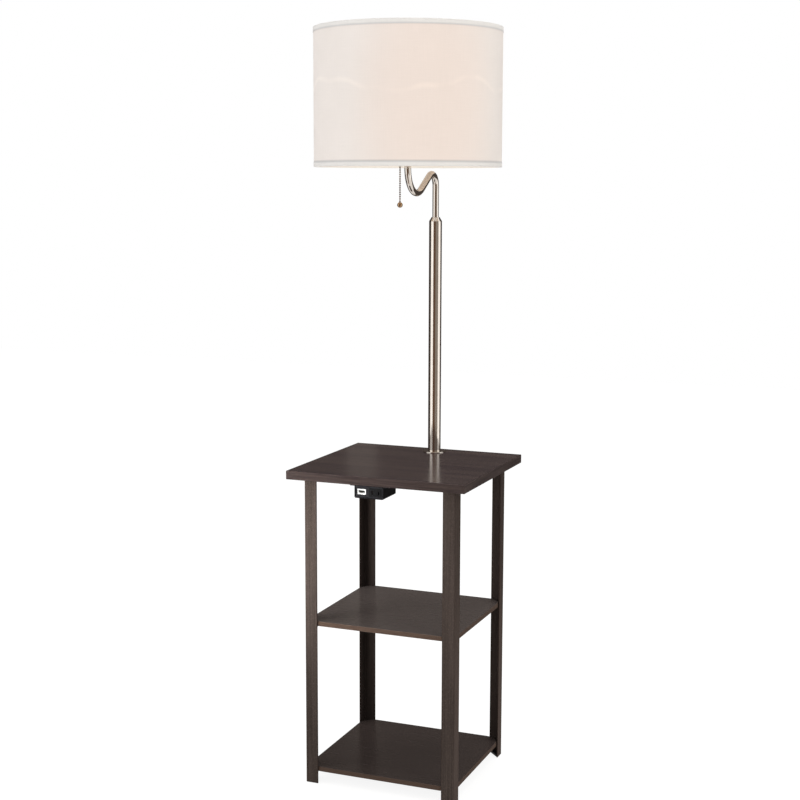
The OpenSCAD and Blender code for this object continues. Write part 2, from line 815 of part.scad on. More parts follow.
// Tape folded round the edge, with its outer face on the shade's full radius
module hem_section() {
    inner_h = hem_t + skin_gap + ring_wire_d + 1.2;
    translate([shade_r - hem_t, -hem_h]) square([hem_t, hem_h]);
    translate([hem_inner_r, -hem_t]) square([shade_r - hem_inner_r, hem_t]);
    translate([hem_inner_r, -inner_h]) square([hem_t, inner_h]);
}

module shade_top_hem() {
    color("ivory") at_head() difference() {
        translate([0, 0, shade_top]) rotate_extrude($fn = 128) hem_section();
        spider_arms(ring_wire_r + 0.3);
    }
}

module shade_bottom_hem() {
    color("ivory") at_head() translate([0, 0, shade_low]) mirror([0, 0, 1])
        rotate_extrude($fn = 128) hem_section();
}

// Three level arms that step up to the top ring near its edge
hub_r = 12.5;
spider_bend_r = 10;
spider_lift = top_ring_h - (harp_top + hub_t / 2);
spider_slope = 40;
spider_slope_x = spider_lift / tan(spider_slope);
spider_reach = ring_r - ring_wire_r - skin_gap;

module spider_arms(r) {
    level_l = spider_reach - spider_slope_x;
    for (a = [90, 210, 330])
        rotate([0, 0, a]) {
            translate([hub_r - 3, 0, harp_top + hub_t / 2]) rotate([0, 90, 0])
                cylinder(h = level_l - hub_r + 3, r = r, $fn = wire_fn);
            translate([level_l, 0, harp_top + hub_t / 2]) sphere(r = r, $fn = wire_fn);
            translate([level_l, 0, harp_top + hub_t / 2]) rotate([0, 90 - spider_slope, 0])
                cylinder(h = spider_lift / sin(spider_slope), r = r, $fn = wire_fn);
        }
}

module shade_spider() {
    color(nickel) at_head() difference() {
        union() {
            translate([0, 0, harp_top]) cylinder(h = hub_t, r = hub_r);
            spider_arms(ring_wire_r);
        }
        translate([0, 0, harp_top - cut]) cylinder(h = hub_t + 2 * cut, r = harp_stud_r + hole_gap);
    }
}

// ---- Bulb ----

bulb_top = socket_top + bulb_h;
bulb_neck_r = bulb_base_d / 2 - 0.5;
bulb_wall = 1;
base_low = body_floor_h + 1 + skin_gap;
base_top = socket_top + 2;

module bulb_section(shrink) {
    globe_r = bulb_d / 2 - shrink;
    centre_h = bulb_top - bulb_d / 2;
    neck_r = bulb_neck_r - shrink;
    intersection() {
        union() {
            translate([0, centre_h]) circle(r = globe_r);
            polygon([
                [0, base_top + shrink], [neck_r, base_top + shrink],
                [neck_r + 1, base_top + 8], [globe_r * cos(32), centre_h - globe_r * sin(32)],
                [0, centre_h]
            ]);
        }
        translate([0, base_top + shrink]) square([bulb_d, bulb_d * 3]);
    }
}

module bulb_globe() {
    color("white") at_head() rotate_extrude() difference() {
        bulb_section(0);
        bulb_section(bulb_wall);
    }
}

// Screw base with a few rolled threads and a centre contact
module bulb_base() {
    tip_h = 4;
    thread_pitch = 3.6;
    core_r = bulb_base_d / 2 - 1;
    color(steel) at_head() rotate_extrude() {
        translate([0, base_low]) square([4, tip_h]);
        translate([0, base_low + tip_h]) square([core_r, base_top - base_low - tip_h]);
        intersection() {
            for (h = [base_low + tip_h + 3 : thread_pitch : base_top - 6])
                translate([core_r - 0.5, h]) circle(r = 1.5, $fn = small_fn);
            translate([0, base_low]) square([bulb_base_d / 2 + 0.5, base_top - base_low]);
        }
    }
}

// ---- Pull chain ----

link_r = 0.55;
coupling_gap = 0.3;
coupling_r = bead_d / 2 + coupling_gap + 0.8;
coupling_bore_r = bead_d / 2 + coupling_gap;
lip_r = bead_d * 0.42;
lip_t = 0.4;
guide_bead_h = guide_low + 2.5;
coupling_h = 6.5;
coupling_top = guide_low - 3 - bead_d / 2;
swing_h = coupling_top - coupling_h + lip_t + sqrt(pow(bead_d / 2, 2) - pow(lip_r, 2)) + 0.15;

// Bead inside the guide, short links and the coupling that holds the chain
module switch_pull() {
    color(nickel) at_chain() {
        translate([0, 0, guide_bead_h]) sphere(r = bead_d / 2, $fn = small_fn);
        translate([0, 0, coupling_top - 1]) cylinder(h = guide_bead_h - coupling_top + 1, r = link_r, $fn = small_fn);
        translate([0, 0, coupling_top - coupling_h]) rotate_extrude($fn = small_fn) difference() {
            square([coupling_r, coupling_h]);
            translate([0, lip_t]) square([coupling_bore_r, coupling_h - lip_t - 1.2]);
            translate([0, -cut]) square([lip_r, lip_t + 2 * cut]);
        }
    }
}

ball_neck_h = 0.2;
ball_grip = 2;
ball_h = swing_h - bead_count * bead_pitch - (bead_d + ball_d) / 2 - ball_neck_h - skin_gap;

// Beads on short links, with the first bead caught in the coupling
module pull_chain() {
    color(nickel) at_chain() {
        for (i = [0 : bead_count])
            translate([0, 0, swing_h - i * bead_pitch]) sphere(r = bead_d / 2, $fn = small_fn);
        translate([0, 0, ball_h + ball_d / 2 - ball_grip])
            cylinder(h = swing_h - ball_h - ball_d / 2 + ball_grip, r = link_r, $fn = small_fn);
    }
}

module chain_ball() {
    color(nickel) at_chain() translate([0, 0, ball_h]) difference() {
        union() {
            sphere(r = ball_d / 2);
            cylinder(h = ball_d / 2 + ball_neck_h, r = 1.8, $fn = small_fn);
        }
        translate([0, 0, ball_d / 2 - ball_grip - skin_gap])
            cylinder(h = ball_grip + 2 * cut, r = link_r + skin_gap, $fn = small_fn);
    }
}

// ---- Power box ----

box_y = table_y - top_d / 2 + box_setback;
box_mid_h = top_under - box_h / 2;
box_corner_r = 2.5;
face_recess = 0.8;
face_t = 2;
face_y = face_recess;
ear_l = 30;
ear_hole_y = 15;
ear_screw_l = 10;
usb_w = 16.5;
usb_h = 10;
usb_l = 16;
usb_x = -14.5;
outlet_w = 26;
outlet_h = 17;
outlet_l = 18;
outlet_x = 12.5;
insert_gap = 0.1;
gland_r = 5;
gland_x = 12;

// Local frame of the power box: x along its width, y back from its front,
// and z from the middle of its height
module at_box() {
    translate([table_x + box_side, box_y, box_mid_h]) children();
}

module ear_places() {
    for (side = [-1, 1])
        translate([table_x + box_side + side * (box_w + ear_w) / 2, box_y + ear_hole_y, 0])
            children();
}

module box_profile(grow) {
    round_rect(box_w + 2 * grow, box_h + 2 * grow, box_corner_r + grow);
}

module along_y(length) {
    translate([0, length, 0]) rotate([90, 0, 0]) linear_extrude(length) children();
}

board_w = 30;
board_l = 36;
board_t = 1.6;
rib_h = 3;
board_y = 20;
board_x = -10;

module power_box_housing() {
    flat_h = box_corner_r;
    color(black_plastic) at_box() difference() {
        union() {
            along_y(box_depth) {
                box_profile(0);
                translate([-box_w / 2, box_h / 2 - flat_h]) square([box_w, flat_h]);
            }
            for (side = [-1, 1])
                translate([side * (box_w / 2 + ear_w / 2 - 1), ear_l / 2, box_h / 2 - ear_t / 2])
                    cube([ear_w + 2, ear_l, ear_t], center = true);
        }
        difference() {
            translate([0, -cut, 0]) along_y(box_depth - box_wall + cut) box_profile(-box_wall);
            for (x = [-1, 1])
                translate([board_x + x * (board_w / 2 - 3) - 1, board_y, -box_h / 2])
                    cube([2, board_l, box_wall + rib_h]);
        }
        for (side = [-1, 1])
            translate([side * (box_w / 2 + ear_w / 2), ear_hole_y, 0])
                cylinder(h = box_h, r = screw_d / 2 + hole_gap, $fn = small_fn);
        translate([gland_x, box_depth - box_wall - cut, 0]) rotate([-90, 0, 0])
            cylinder(h = box_wall + 2 * cut, r = gland_r + skin_gap, $fn = small_fn);
    }
}

module power_box_face() {
    color(black_plastic) at_box() translate([0, face_y, 0]) difference() {
        along_y(face_t) box_profile(-box_wall - insert_gap);
        translate([usb_x, -cut, 0]) along_y(face_t + 2 * cut)
            square([usb_w + 2 * insert_gap, usb_h + 2 * insert_gap], center = true);
        translate([outlet_x, -cut, 0]) along_y(face_t + 2 * cut)
            round_rect(outlet_w + 2 * insert_gap, outlet_h + 2 * insert_gap, 2);
    }
}

module power_box_screws() {
    color(steel) ear_places() translate([0, 0, top_under - ear_t]) pan_screw(ear_screw_l);
}

port_w = 12.4;
port_h = 5;
port_z = 0.2;
tongue_w = 11;
tongue_t = 1.9;

module usb_port() {
    color("white") at_box() translate([usb_x, face_y - 0.3, 0]) difference() {
        along_y(usb_l) square([usb_w, usb_h], center = true);
        translate([0, -cut, port_z]) along_y(usb_l - 3 + cut) square([port_w, port_h], center = true);
    }
}

module usb_tongue() {
    color(black_plastic) at_box()
        translate([usb_x, face_y + 0.6, port_z + port_h / 2 - 0.7 - tongue_t / 2])
            along_y(usb_l - 3 - 0.9) square([tongue_w, tongue_t], center = true);
}

slot_gap = 12.7;
slot_h = 7.6;
slot_w = 2.2;
pocket_l = 13;

module outlet_insert() {
    color(black_plastic) at_box() translate([outlet_x, face_y - 0.2, 0]) difference() {
        union() {
            along_y(face_t + 1) round_rect(outlet_w, outlet_h, 2);
            translate([0, 1, 0]) along_y(outlet_l - 1) square([outlet_w - 3, outlet_h - 3], center = true);
        }
        for (x = [-1, 1])
            translate([x * slot_gap / 2, -cut, -0.6]) along_y(pocket_l + cut)
                square([slot_w, slot_h + (x < 0 ? 1 : 0)], center = true);
    }
}

contact_t = 0.5;

module outlet_contacts() {
    color(brass) at_box() for (x = [-1, 1])
        translate([outlet_x + x * (slot_gap / 2 + slot_w / 2 - contact_t / 2), face_y + 4, -0.6])
            along_y(pocket_l - 4.2) square([contact_t, slot_h - 1], center = true);
}

module charger_board() {
    color("darkgreen") at_box()
        translate([board_x - board_w / 2, board_y, -box_h / 2 + box_wall + rib_h])
            cube([board_w, board_l, board_t]);
}

module cord_inlet_gland() {
    color(black_plastic) at_box() translate([gland_x, box_depth, 0]) rotate([-90, 0, 0])
        rotate_extrude($fn = small_fn) polygon([
            [2.6, -box_wall - 1], [gland_r, -box_wall - 1], [gland_r, 0], [gland_r + 1.5, 0],
            [gland_r + 1.5, 1.5], [gland_r, 2.5], [2.6, 2.5]
        ]);
}

tabletop();
leg_front_left();
leg_front_right();
leg_back_left();
leg_back_right();
middle_shelf();
bottom_shelf();
tabletop_brackets();
middle_shelf_brackets();
bottom_shelf_brackets();
tabletop_screws();
middle_shelf_screws();
bottom_shelf_screws();
pole_tube();
pole_foot_flange();
pole_foot_plug();
pole_stud();
clamp_washer();
clamp_nut();
pole_cone_cap();
swivel_bushing();
swivel_stop_pin();
power_box_housing();
power_box_face();
power_box_screws();
usb_port();
usb_tongue();
outlet_insert();
outlet_contacts();
charger_board();
cord_inlet_gland();
arm_tube();
swivel_stud();
swivel_stop_washer();
swivel_lock_nut();
head_nipple();
harp_saddle();
socket_cap();
socket_shell();
socket_body();
socket_screw_shell();
chain_guide();
harp();
finial();
shade_spider();
shade_top_ring();
shade_bottom_ring();
shade_fabric();
shade_liner();
shade_top_hem();
shade_bottom_hem();
bulb_globe();
bulb_base();
switch_pull();
pull_chain();
chain_ball();
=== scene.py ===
import logging
import math
from dataclasses import dataclass
from enum import Enum
from typing import Any

import bmesh
import bpy
from mathutils import Matrix, Vector


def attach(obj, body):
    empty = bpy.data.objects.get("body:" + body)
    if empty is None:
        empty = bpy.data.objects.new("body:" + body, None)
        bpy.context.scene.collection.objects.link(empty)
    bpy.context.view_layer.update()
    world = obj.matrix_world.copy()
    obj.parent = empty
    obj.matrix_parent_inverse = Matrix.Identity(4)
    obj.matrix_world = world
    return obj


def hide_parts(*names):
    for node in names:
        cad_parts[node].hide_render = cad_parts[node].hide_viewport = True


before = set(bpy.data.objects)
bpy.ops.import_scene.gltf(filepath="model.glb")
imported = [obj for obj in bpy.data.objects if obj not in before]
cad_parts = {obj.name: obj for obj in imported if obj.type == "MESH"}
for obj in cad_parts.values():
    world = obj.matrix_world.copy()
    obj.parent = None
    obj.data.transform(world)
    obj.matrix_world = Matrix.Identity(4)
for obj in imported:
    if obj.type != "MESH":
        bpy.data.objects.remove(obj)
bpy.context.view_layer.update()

MM = 0.001
PAINTED_CAVITY_SHADE = "#020202"  # painted shade inside a deep opening
FULL_EDGE, NO_EDGE = 0.72, 0.985  # cosines of the turn of the normal on an edge and beside it
log = logging.getLogger("table_lamp")

Point = tuple[float, float, float]
Pair = tuple[float, float]
Tree = bpy.types.NodeTree
Socket = bpy.types.NodeSocket
Mesh = bmesh.types.BMesh


class Body(Enum):
    """Bodies of the record that carry pieces made here."""

    BASE = "base"
    ARM = "arm"
    CHAIN = "chain"


class Run(Enum):
    """Direction in which a streaked pattern is long."""

    ALONG_X = 0
    ALONG_Y = 1
    ALONG_Z = 2


# ---- Small tools ----


def to_linear(colour: str) -> tuple[float, float, float, float]:
    """Turns an sRGB colour into the linear values that the shaders take.

    Args:
        colour: Six hex digits after a hash.

    Returns:
        Red, green, blue and a full alpha.
    """
    parts = [int(colour[i:i + 2], 16) / 255 for i in (1, 3, 5)]
    red, green, blue = (p / 12.92 if p <= 0.04045 else ((p + 0.055) / 1.055) ** 2.4 for p in parts)
    return red, green, blue, 1.0


def add_node(tree: Tree, kind: str, sockets: dict[Any, Any] | None = None, **settings: Any) -> bpy.types.Node:
    """Adds one node with its settings, values and links.

    Args:
        tree: Node tree that gets the node.
        kind: Blender's name for the node's type.
        sockets: For each input, by name or number, its value or the output that feeds it.
        settings: Attributes of the node itself.

    Returns:
        The new node.
    """
    node = tree.nodes.new(kind)
    for name, value in settings.items():
        setattr(node, name, value)
    for name, value in (sockets or {}).items():
        if isinstance(value, Socket):
            tree.links.new(value, node.inputs[name])
        else:
            node.inputs[name].default_value = value
    return node


def dress(finish: "Finish", *names: str) -> None:
    """Gives CAD nodes a finish on the material slots that they came with.

    Args:
        finish: Finish to put on.
        names: Names of the nodes.
    """
    for name in names:
        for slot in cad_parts[name].material_slots:
            slot.material = finish.material()


def make_object(bm: Mesh, name: str, finish: "Finish") -> bpy.types.Object:
    """Turns a finished mesh into an object of one finish.

    Args:
        bm: Mesh in the lamp's own frame, in metres. It is freed here.
        name: Name of the object.
        finish: Finish of the whole object.

    Returns:
        The new object, in the scene.
    """
    mesh = bpy.data.meshes.new(name)
    bm.to_mesh(mesh)
    bm.free()
    mesh.materials.append(finish.material())
    made = bpy.data.objects.new(name, mesh)
    bpy.context.scene.collection.objects.link(made)
    return made


def keep_piece(bm: Mesh, name: str, body: Body, finish: "Finish", stands_for: tuple[str, ...],
               crease: float, flat_faces: bool = False) -> bpy.types.Object:
    """Turns a finished mesh into a piece of the lamp that rides on its body.

    Args:
        bm: Mesh in the lamp's own frame, in metres. It is freed here.
        name: Name of the piece.
        body: Body that carries it.
        finish: Finish of the whole piece.
        stands_for: CAD nodes that the piece takes the place of, if any.
        crease: Angle in degrees above which an edge stays sharp.
        flat_faces: True where big faces stay flat between soft edges.

    Returns:
        The new object.
    """
    piece = make_object(bm, name, finish)
    piece.data.shade_smooth()
    piece.data.set_sharp_from_angle(angle=math.radians(crease))
    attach(piece, body.value)
    if stands_for:
        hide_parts(*stands_for)
    if flat_faces:
        piece.modifiers.new("flat_faces", "WEIGHTED_NORMAL").keep_sharp = True
    log.info("%s rides on %s, %d faces", name, body.value, len(piece.data.polygons))
    return piece


def seal(bm: Mesh) -> None:
    """Merges a mesh's doubled points and turns its faces outwards."""
    bmesh.ops.remove_doubles(bm, verts=bm.verts, dist=0.002 * MM)
    bmesh.ops.recalc_face_normals(bm, faces=bm.faces)


def soften(bm: Mesh, edges: list[Any], offset: float, segments: int = 3) -> None:
    """Rounds some edges of a closed mesh.

    Args:
        bm: Mesh that has the edges.
        edges: Edges to round.
        offset: Width of the rounding on each side, in metres.
        segments: Number of faces across it.
    """
    bmesh.ops.bevel(bm, geom=edges, offset=offset, offset_type="OFFSET", affect="EDGES", segments=segments,
                    profile=0.5, material=-1, clamp_overlap=True)


def bent_edges(bm: Mesh, least: float) -> list[Any]:
    """Lists the edges at which a mesh turns by more than an angle in degrees."""
    return [e for e in bm.edges if e.calc_face_angle(0) > math.radians(least)]


def turned(outline: list[Pair], centre: Point, steps: int) -> Mesh:
    """Spins an outline once round an upright axis.

    Args:
        outline: Radius and height of each corner, in metres, from one end to the other.
        centre: Point on the axis that the heights count from.
        steps: Number of steps in the full turn.

    Returns:
        The turned mesh, with its normals outwards.
    """
    bm = bmesh.new()
    points = [bm.verts.new((centre[0] + r, centre[1], centre[2] + h)) for r, h in outline]
    edges = [bm.edges.new(pair) for pair in zip(points, points[1:])]
    bmesh.ops.spin(bm, geom=points + edges, cent=centre, axis=(0, 0, 1), angle=2 * math.pi, steps=steps,
                   use_merge=True)
    seal(bm)
    return bm


# ---- Finishes ----


@dataclass(frozen=True)
class Finish:
    """A material with one main shader, made once and shared by all that wear it."""

    name: str

    def material(self) -> bpy.types.Material:
        """Returns the material, which the first call makes."""
        found = bpy.data.materials.get(self.name)
        if found is None:
            found = bpy.data.materials.new(self.name)
            found.use_nodes = True
            found.node_tree.nodes.clear()
            shader = self.shade(found.node_tree)
            add_node(found.node_tree, "ShaderNodeOutputMaterial", {"Surface": shader.outputs[0]})
        return found

    def shade(self, tree: Tree) -> bpy.types.Node:
        """Builds the nodes in an empty tree and returns the last shader."""
        raise NotImplementedError

    @staticmethod
    def grit(tree: Tree, cell: Point, detail: float, source: Socket | None = None) -> Socket:
        """Makes an uneven pattern from the size of its cells.

        Args:
            tree: Tree that gets the pattern.
            cell: Length of a cell along X, Y and Z, in metres.
            detail: Number of finer layers.
            source: Coordinates to read, or the object's own if none are given.

        Returns:
            Output that swings about one half.
        """
        source = source or add_node(tree, "ShaderNodeTexCoord").outputs["Object"]
        place = add_node(tree, "ShaderNodeMapping", {"Vector": source, "Scale": tuple(1 / c for c in cell)})
        return add_node(tree, "ShaderNodeTexNoise", {
            "Vector": place.outputs[0], "Scale": 1.0, "Detail": detail, "Roughness": 0.55}).outputs["Fac"]

    @staticmethod
    def span(tree: Tree, value: Socket, low: float, high: float, to_low: float, to_high: float,
             way: str = "LINEAR") -> Socket:
        """Carries a value from one range to another and stops it at the ends.

        Args:
            tree: Tree that gets the step.
            value: Output to carry over.
            low: Start of the range it has.
            high: End of the range it has.
            to_low: Start of the range it gets.
            to_high: End of the range it gets.
            way: Blender's name for the way between the ends.

        Returns:
            The carried output.
        """
        return add_node(tree, "ShaderNodeMapRange", {
            "Value": value, "From Min": low, "From Max": high, "To Min": to_low, "To Max": to_high},
            interpolation_type=way).outputs[0]

    @staticmethod
    def tint(tree: Tree, share: Socket, first: Any, second: Any, way: str = "MIX") -> Socket:
        """Mixes two colours by a share.

        Args:
            tree: Tree that gets the mix.
            share: Zero for the first colour and one for the second.
            first: First colour, as hex or an output.
            second: Second colour, as hex or an output.
            way: Blender's name for the way of mixing.

        Returns:
            The mixed colour.
        """
        ends = [c if isinstance(c, Socket) else to_linear(c) for c in (first, second)]
        return add_node(tree, "ShaderNodeMix", {0: share, 6: ends[0], 7: ends[1]},
                        data_type="RGBA", blend_type=way).outputs[2]

    @staticmethod
    def away(tree: Tree, value: Socket, place: Any) -> Socket:
        """Measures how far a value is from a place, on either side.

        Args:
            tree: Tree that gets the steps.
            value: Output to measure.
            place: Number or output to measure from.

        Returns:
            The distance.
        """
        gap = add_node(tree, "ShaderNodeMath", {0: value, 1: place}, operation="SUBTRACT").outputs[0]
        return add_node(tree, "ShaderNodeMath", {0: gap}, operation="ABSOLUTE").outputs[0]

    @staticmethod
    def outward(tree: Tree, middle: Point) -> Socket:
        """Measures how far each face looks away from an upright axis.

        Args:
            tree: Tree that gets the steps.
            middle: Point on the axis.

        Returns:
            One for a face that looks straight away from the axis, and minus one for a face that looks at it.
        """
        spot = add_node(tree, "ShaderNodeTexCoord")
        offset = add_node(tree, "ShaderNodeVectorMath", {
            0: spot.outputs["Object"], 1: middle}, operation="SUBTRACT").outputs[0]
        flat = add_node(tree, "ShaderNodeVectorMath", {0: offset, 1: (1, 1, 0)}, operation="MULTIPLY")
        out = add_node(tree, "ShaderNodeVectorMath", {0: flat.outputs[0]}, operation="NORMALIZE").outputs[0]
        return add_node(tree, "ShaderNodeVectorMath", {
            0: out, 1: spot.outputs["Normal"]}, operation="DOT_PRODUCT").outputs["Value"]

    @staticmethod
    def edges(tree: Tree, radius: float) -> tuple[Socket, Socket]:
        """Rounds the hard edges to the eye and finds where they are.

        Args:
            tree: Tree that gets the edges.
            radius: Radius of the rounding in metres.

        Returns:
            The rounded normal, and a share that is one on an edge and zero away from it.
        """
        rounded = add_node(tree, "ShaderNodeBevel", {"Radius": radius}, samples=6).outputs[0]
        straight = add_node(tree, "ShaderNodeNewGeometry").outputs["Normal"]
        along = add_node(tree, "ShaderNodeVectorMath", {0: rounded, 1: straight}, operation="DOT_PRODUCT")
        return rounded, Finish.span(tree, along.outputs["Value"], FULL_EDGE, NO_EDGE, 1, 0)

    @staticmethod
    def relief(tree: Tree, height: Socket, depth: float, strength: float = 1.0,
               under: Socket | None = None) -> Socket:
        """Turns a height pattern into a bent normal.

        Args:
            tree: Tree that gets the relief.
            height: Height, from zero to one.
            depth: Real depth of the pattern in metres.
            strength: Share of the relief that shows.
            under: Normal that this relief lies on, if any.

        Returns:
            The bent normal.
        """
        sockets = {"Height": height, "Distance": depth, "Strength": strength}
        if under is not None:
            sockets["Normal"] = under
        return add_node(tree, "ShaderNodeBump", sockets).outputs[0]


@dataclass(frozen=True)
class StainedBoard(Finish):
    """Fibreboard with a pressed wood grain, espresso stain and a satin lacquer.

    The stain gives near-black brown with fine broken streaks along the grain, and
    the lacquer a soft glow with blurred reflections; the top arrises get a painted highlight.
    """

    deep: str
    warm: str
    edge: str
    gloss: float
    figure: float = 0.25
    level: float = 0.42
    # colour of the painted highlight on the top arrises
    arris_highlight: str = "#8d8480"
    arris_r: float = 0.9 * MM
    grain_long: float = 90 * MM
    grain_wide: float = 1.9 * MM  # real pores are 0.3 mm wide, drawn wider so that they show
    grain_deep: float = 0.05 * MM
    plank: Point = (500 * MM, 28 * MM, 28 * MM)
    pore_long: float = 20 * MM

    def shade(self, tree: Tree) -> bpy.types.Node:
        """Builds grain that follows each face's longer side."""
        spot = add_node(tree, "ShaderNodeTexCoord")
        facing = add_node(tree, "ShaderNodeSeparateXYZ", {0: spot.outputs["Normal"]})
        side = add_node(tree, "ShaderNodeMath", {0: facing.outputs["X"]}, operation="ABSOLUTE")
        is_side = self.span(tree, side.outputs[0], 0.45, 0.55, 0, 1)
        turned_place = add_node(tree, "ShaderNodeMapping", {
            "Vector": spot.outputs["Object"], "Rotation": (0, 0, math.pi / 2)})
        run = add_node(tree, "ShaderNodeMix", {
            0: is_side, 4: spot.outputs["Object"], 5: turned_place.outputs[0]}, data_type="VECTOR").outputs[1]
        wide, pore = self.grain_wide, 0.6 * self.grain_wide
        streaks = self.grit(tree, (self.grain_long, wide, wide), 4, run)
        bands = self.grit(tree, self.plank, 2, run)
        pores = self.span(tree, self.grit(tree, (self.pore_long, pore, pore), 1, run), 0.60, 0.70, 0, 0.55)
        figure = add_node(tree, "ShaderNodeMath", {0: streaks, 1: bands}, operation="ADD").outputs[0]
        share = self.span(tree, figure, 0.75, 1.25, 0.5 - 2 * self.figure, 0.5 + 2 * self.figure)
        top = self.tint(tree, share, self.deep, self.warm)
        flat = add_node(tree, "ShaderNodeMath", {0: facing.outputs["Z"]}, operation="ABSOLUTE")
        is_edge = self.span(tree, flat.outputs[0], 0.45, 0.75, 1, 0)
        edge = self.tint(tree, self.span(tree, streaks, 0.35, 0.65, 0, 0.45), self.edge, self.warm)
        colour = self.tint(tree, is_edge, top, edge)
        colour = self.tint(tree, pores, colour, self.deep)
        rounded, rim = self.edges(tree, self.arris_r)
        up = add_node(tree, "ShaderNodeSeparateXYZ", {0: rounded}).outputs["Z"]
        # painted highlight: a paler line along the arrises that face up
        line = add_node(tree, "ShaderNodeMath", {
            0: rim, 1: self.span(tree, up, 0.05, 0.5, 0, 0.35)}, operation="MULTIPLY").outputs[0]
        colour = self.tint(tree, line, colour, self.arris_highlight)
        rough = add_node(tree, "ShaderNodeMath", {
            0: self.span(tree, streaks, 0.3, 0.7, self.gloss - 0.04, self.gloss + 0.06),
            1: self.span(tree, is_edge, 0, 1, 0, 0.3)}, operation="ADD").outputs[0]
        return add_node(tree, "ShaderNodeBsdfPrincipled", {
            "Base Color": colour, "Roughness": rough, "IOR": 1.48, "Specular IOR Level": self.level,
            "Normal": self.relief(tree, streaks, self.grain_deep, 0.5, rounded)})


@dataclass(frozen=True)
class PowderCoat(Finish):
    """Steel angle with an oven-baked bronze powder coat.

    The baked powder gives a fine pebbled skin with a few paler flecks and soft,
    wide highlights; the faces turned inwards and the edges carry painted shade.
    """

    deep: str
    pale: str
    # edge: colour of the painted shade along the rounded edges and bends
    edge: str = "#2c1b15"
    inner_shade: str = "#1d1715"
    middle: Point = (-1.5 * MM, 11 * MM, 0.0)
    pebble: float = 0.9 * MM  # real pebbles are about 0.4 mm, drawn coarser so that they show
    pebble_deep: float = 0.12 * MM
    fleck: str = "#8a786c"
    run: Point = (2.4 * MM, 2.4 * MM, 160 * MM)
    edge_r: float = 1.6 * MM
    shine: str = "#cfa78a"

    def shade(self, tree: Tree) -> bpy.types.Node:
        """Builds pebbles, flecks and long faint runs."""
        pebbles = self.grit(tree, (self.pebble,) * 3, 3)
        runs = self.grit(tree, self.run, 3)
        flecks = self.span(tree, self.grit(tree, (self.pebble,) * 3, 1), 0.62, 0.78, 0, 0.45)
        body = add_node(tree, "ShaderNodeMath", {0: pebbles, 1: runs}, operation="ADD").outputs[0]
        colour = self.tint(tree, self.span(tree, body, 0.75, 1.25, 0, 1), self.deep, self.pale)
        colour = self.tint(tree, flecks, colour, self.fleck)
        # painted shade: faces turned towards the middle of the table darken
        inner = self.span(tree, self.outward(tree, self.middle), -0.4, -0.1, 0.62, 0)
        colour = self.tint(tree, inner, colour, self.inner_shade)
        rounded, rim = self.edges(tree, self.edge_r)
        # painted shade: the edges darken towards the edge colour
        return add_node(tree, "ShaderNodeBsdfPrincipled", {
            "Base Color": self.tint(tree, rim, colour, self.edge),
            "Roughness": self.span(tree, pebbles, 0.3, 0.7, 0.5, 0.64),
            "Metallic": 0.3, "Specular IOR Level": 0.07, "Specular Tint": to_linear(self.shine),
            "Normal": self.relief(tree, pebbles, self.pebble_deep, 0.6, rounded)})


@dataclass(frozen=True)
class PlatedMetal(Finish):
    """Metal with an electroplated, polished or brushed surface.

    Plating gives clear bands of dark and light, and the last polish leaves fine
    lines that spread them a little.
    """

    colour: str
    tone_and_edge_highlight: str
    gloss: float
    run: Run
    line: float = 0.5 * MM  # polishing lines are about 0.05 mm, drawn coarser so that they show
    line_long: float = 60 * MM
    line_deep: float = 0.0015 * MM
    haze: float = 18 * MM

    def shade(self, tree: Tree) -> bpy.types.Node:
        """Builds polishing lines and a faint uneven haze."""
        cell = [self.line] * 3
        cell[self.run.value] = self.line_long
        lines = self.grit(tree, tuple(cell), 2)
        haze = self.grit(tree, (self.haze,) * 3, 2)
        colour = self.tint(tree, self.span(tree, haze, 0.35, 0.65, 0, 1), self.colour, self.tone_and_edge_highlight)
        rough = add_node(tree, "ShaderNodeMath", {
            0: self.span(tree, lines, 0.3, 0.7, -0.012, 0.012),
            1: self.span(tree, haze, 0.3, 0.7, self.gloss, self.gloss + 0.02)}, operation="ADD").outputs[0]
        return add_node(tree, "ShaderNodeBsdfPrincipled", {
            "Base Color": colour, "Metallic": 1.0, "Roughness": rough,
            "Normal": self.relief(tree, lines, self.line_deep, 0.1)})


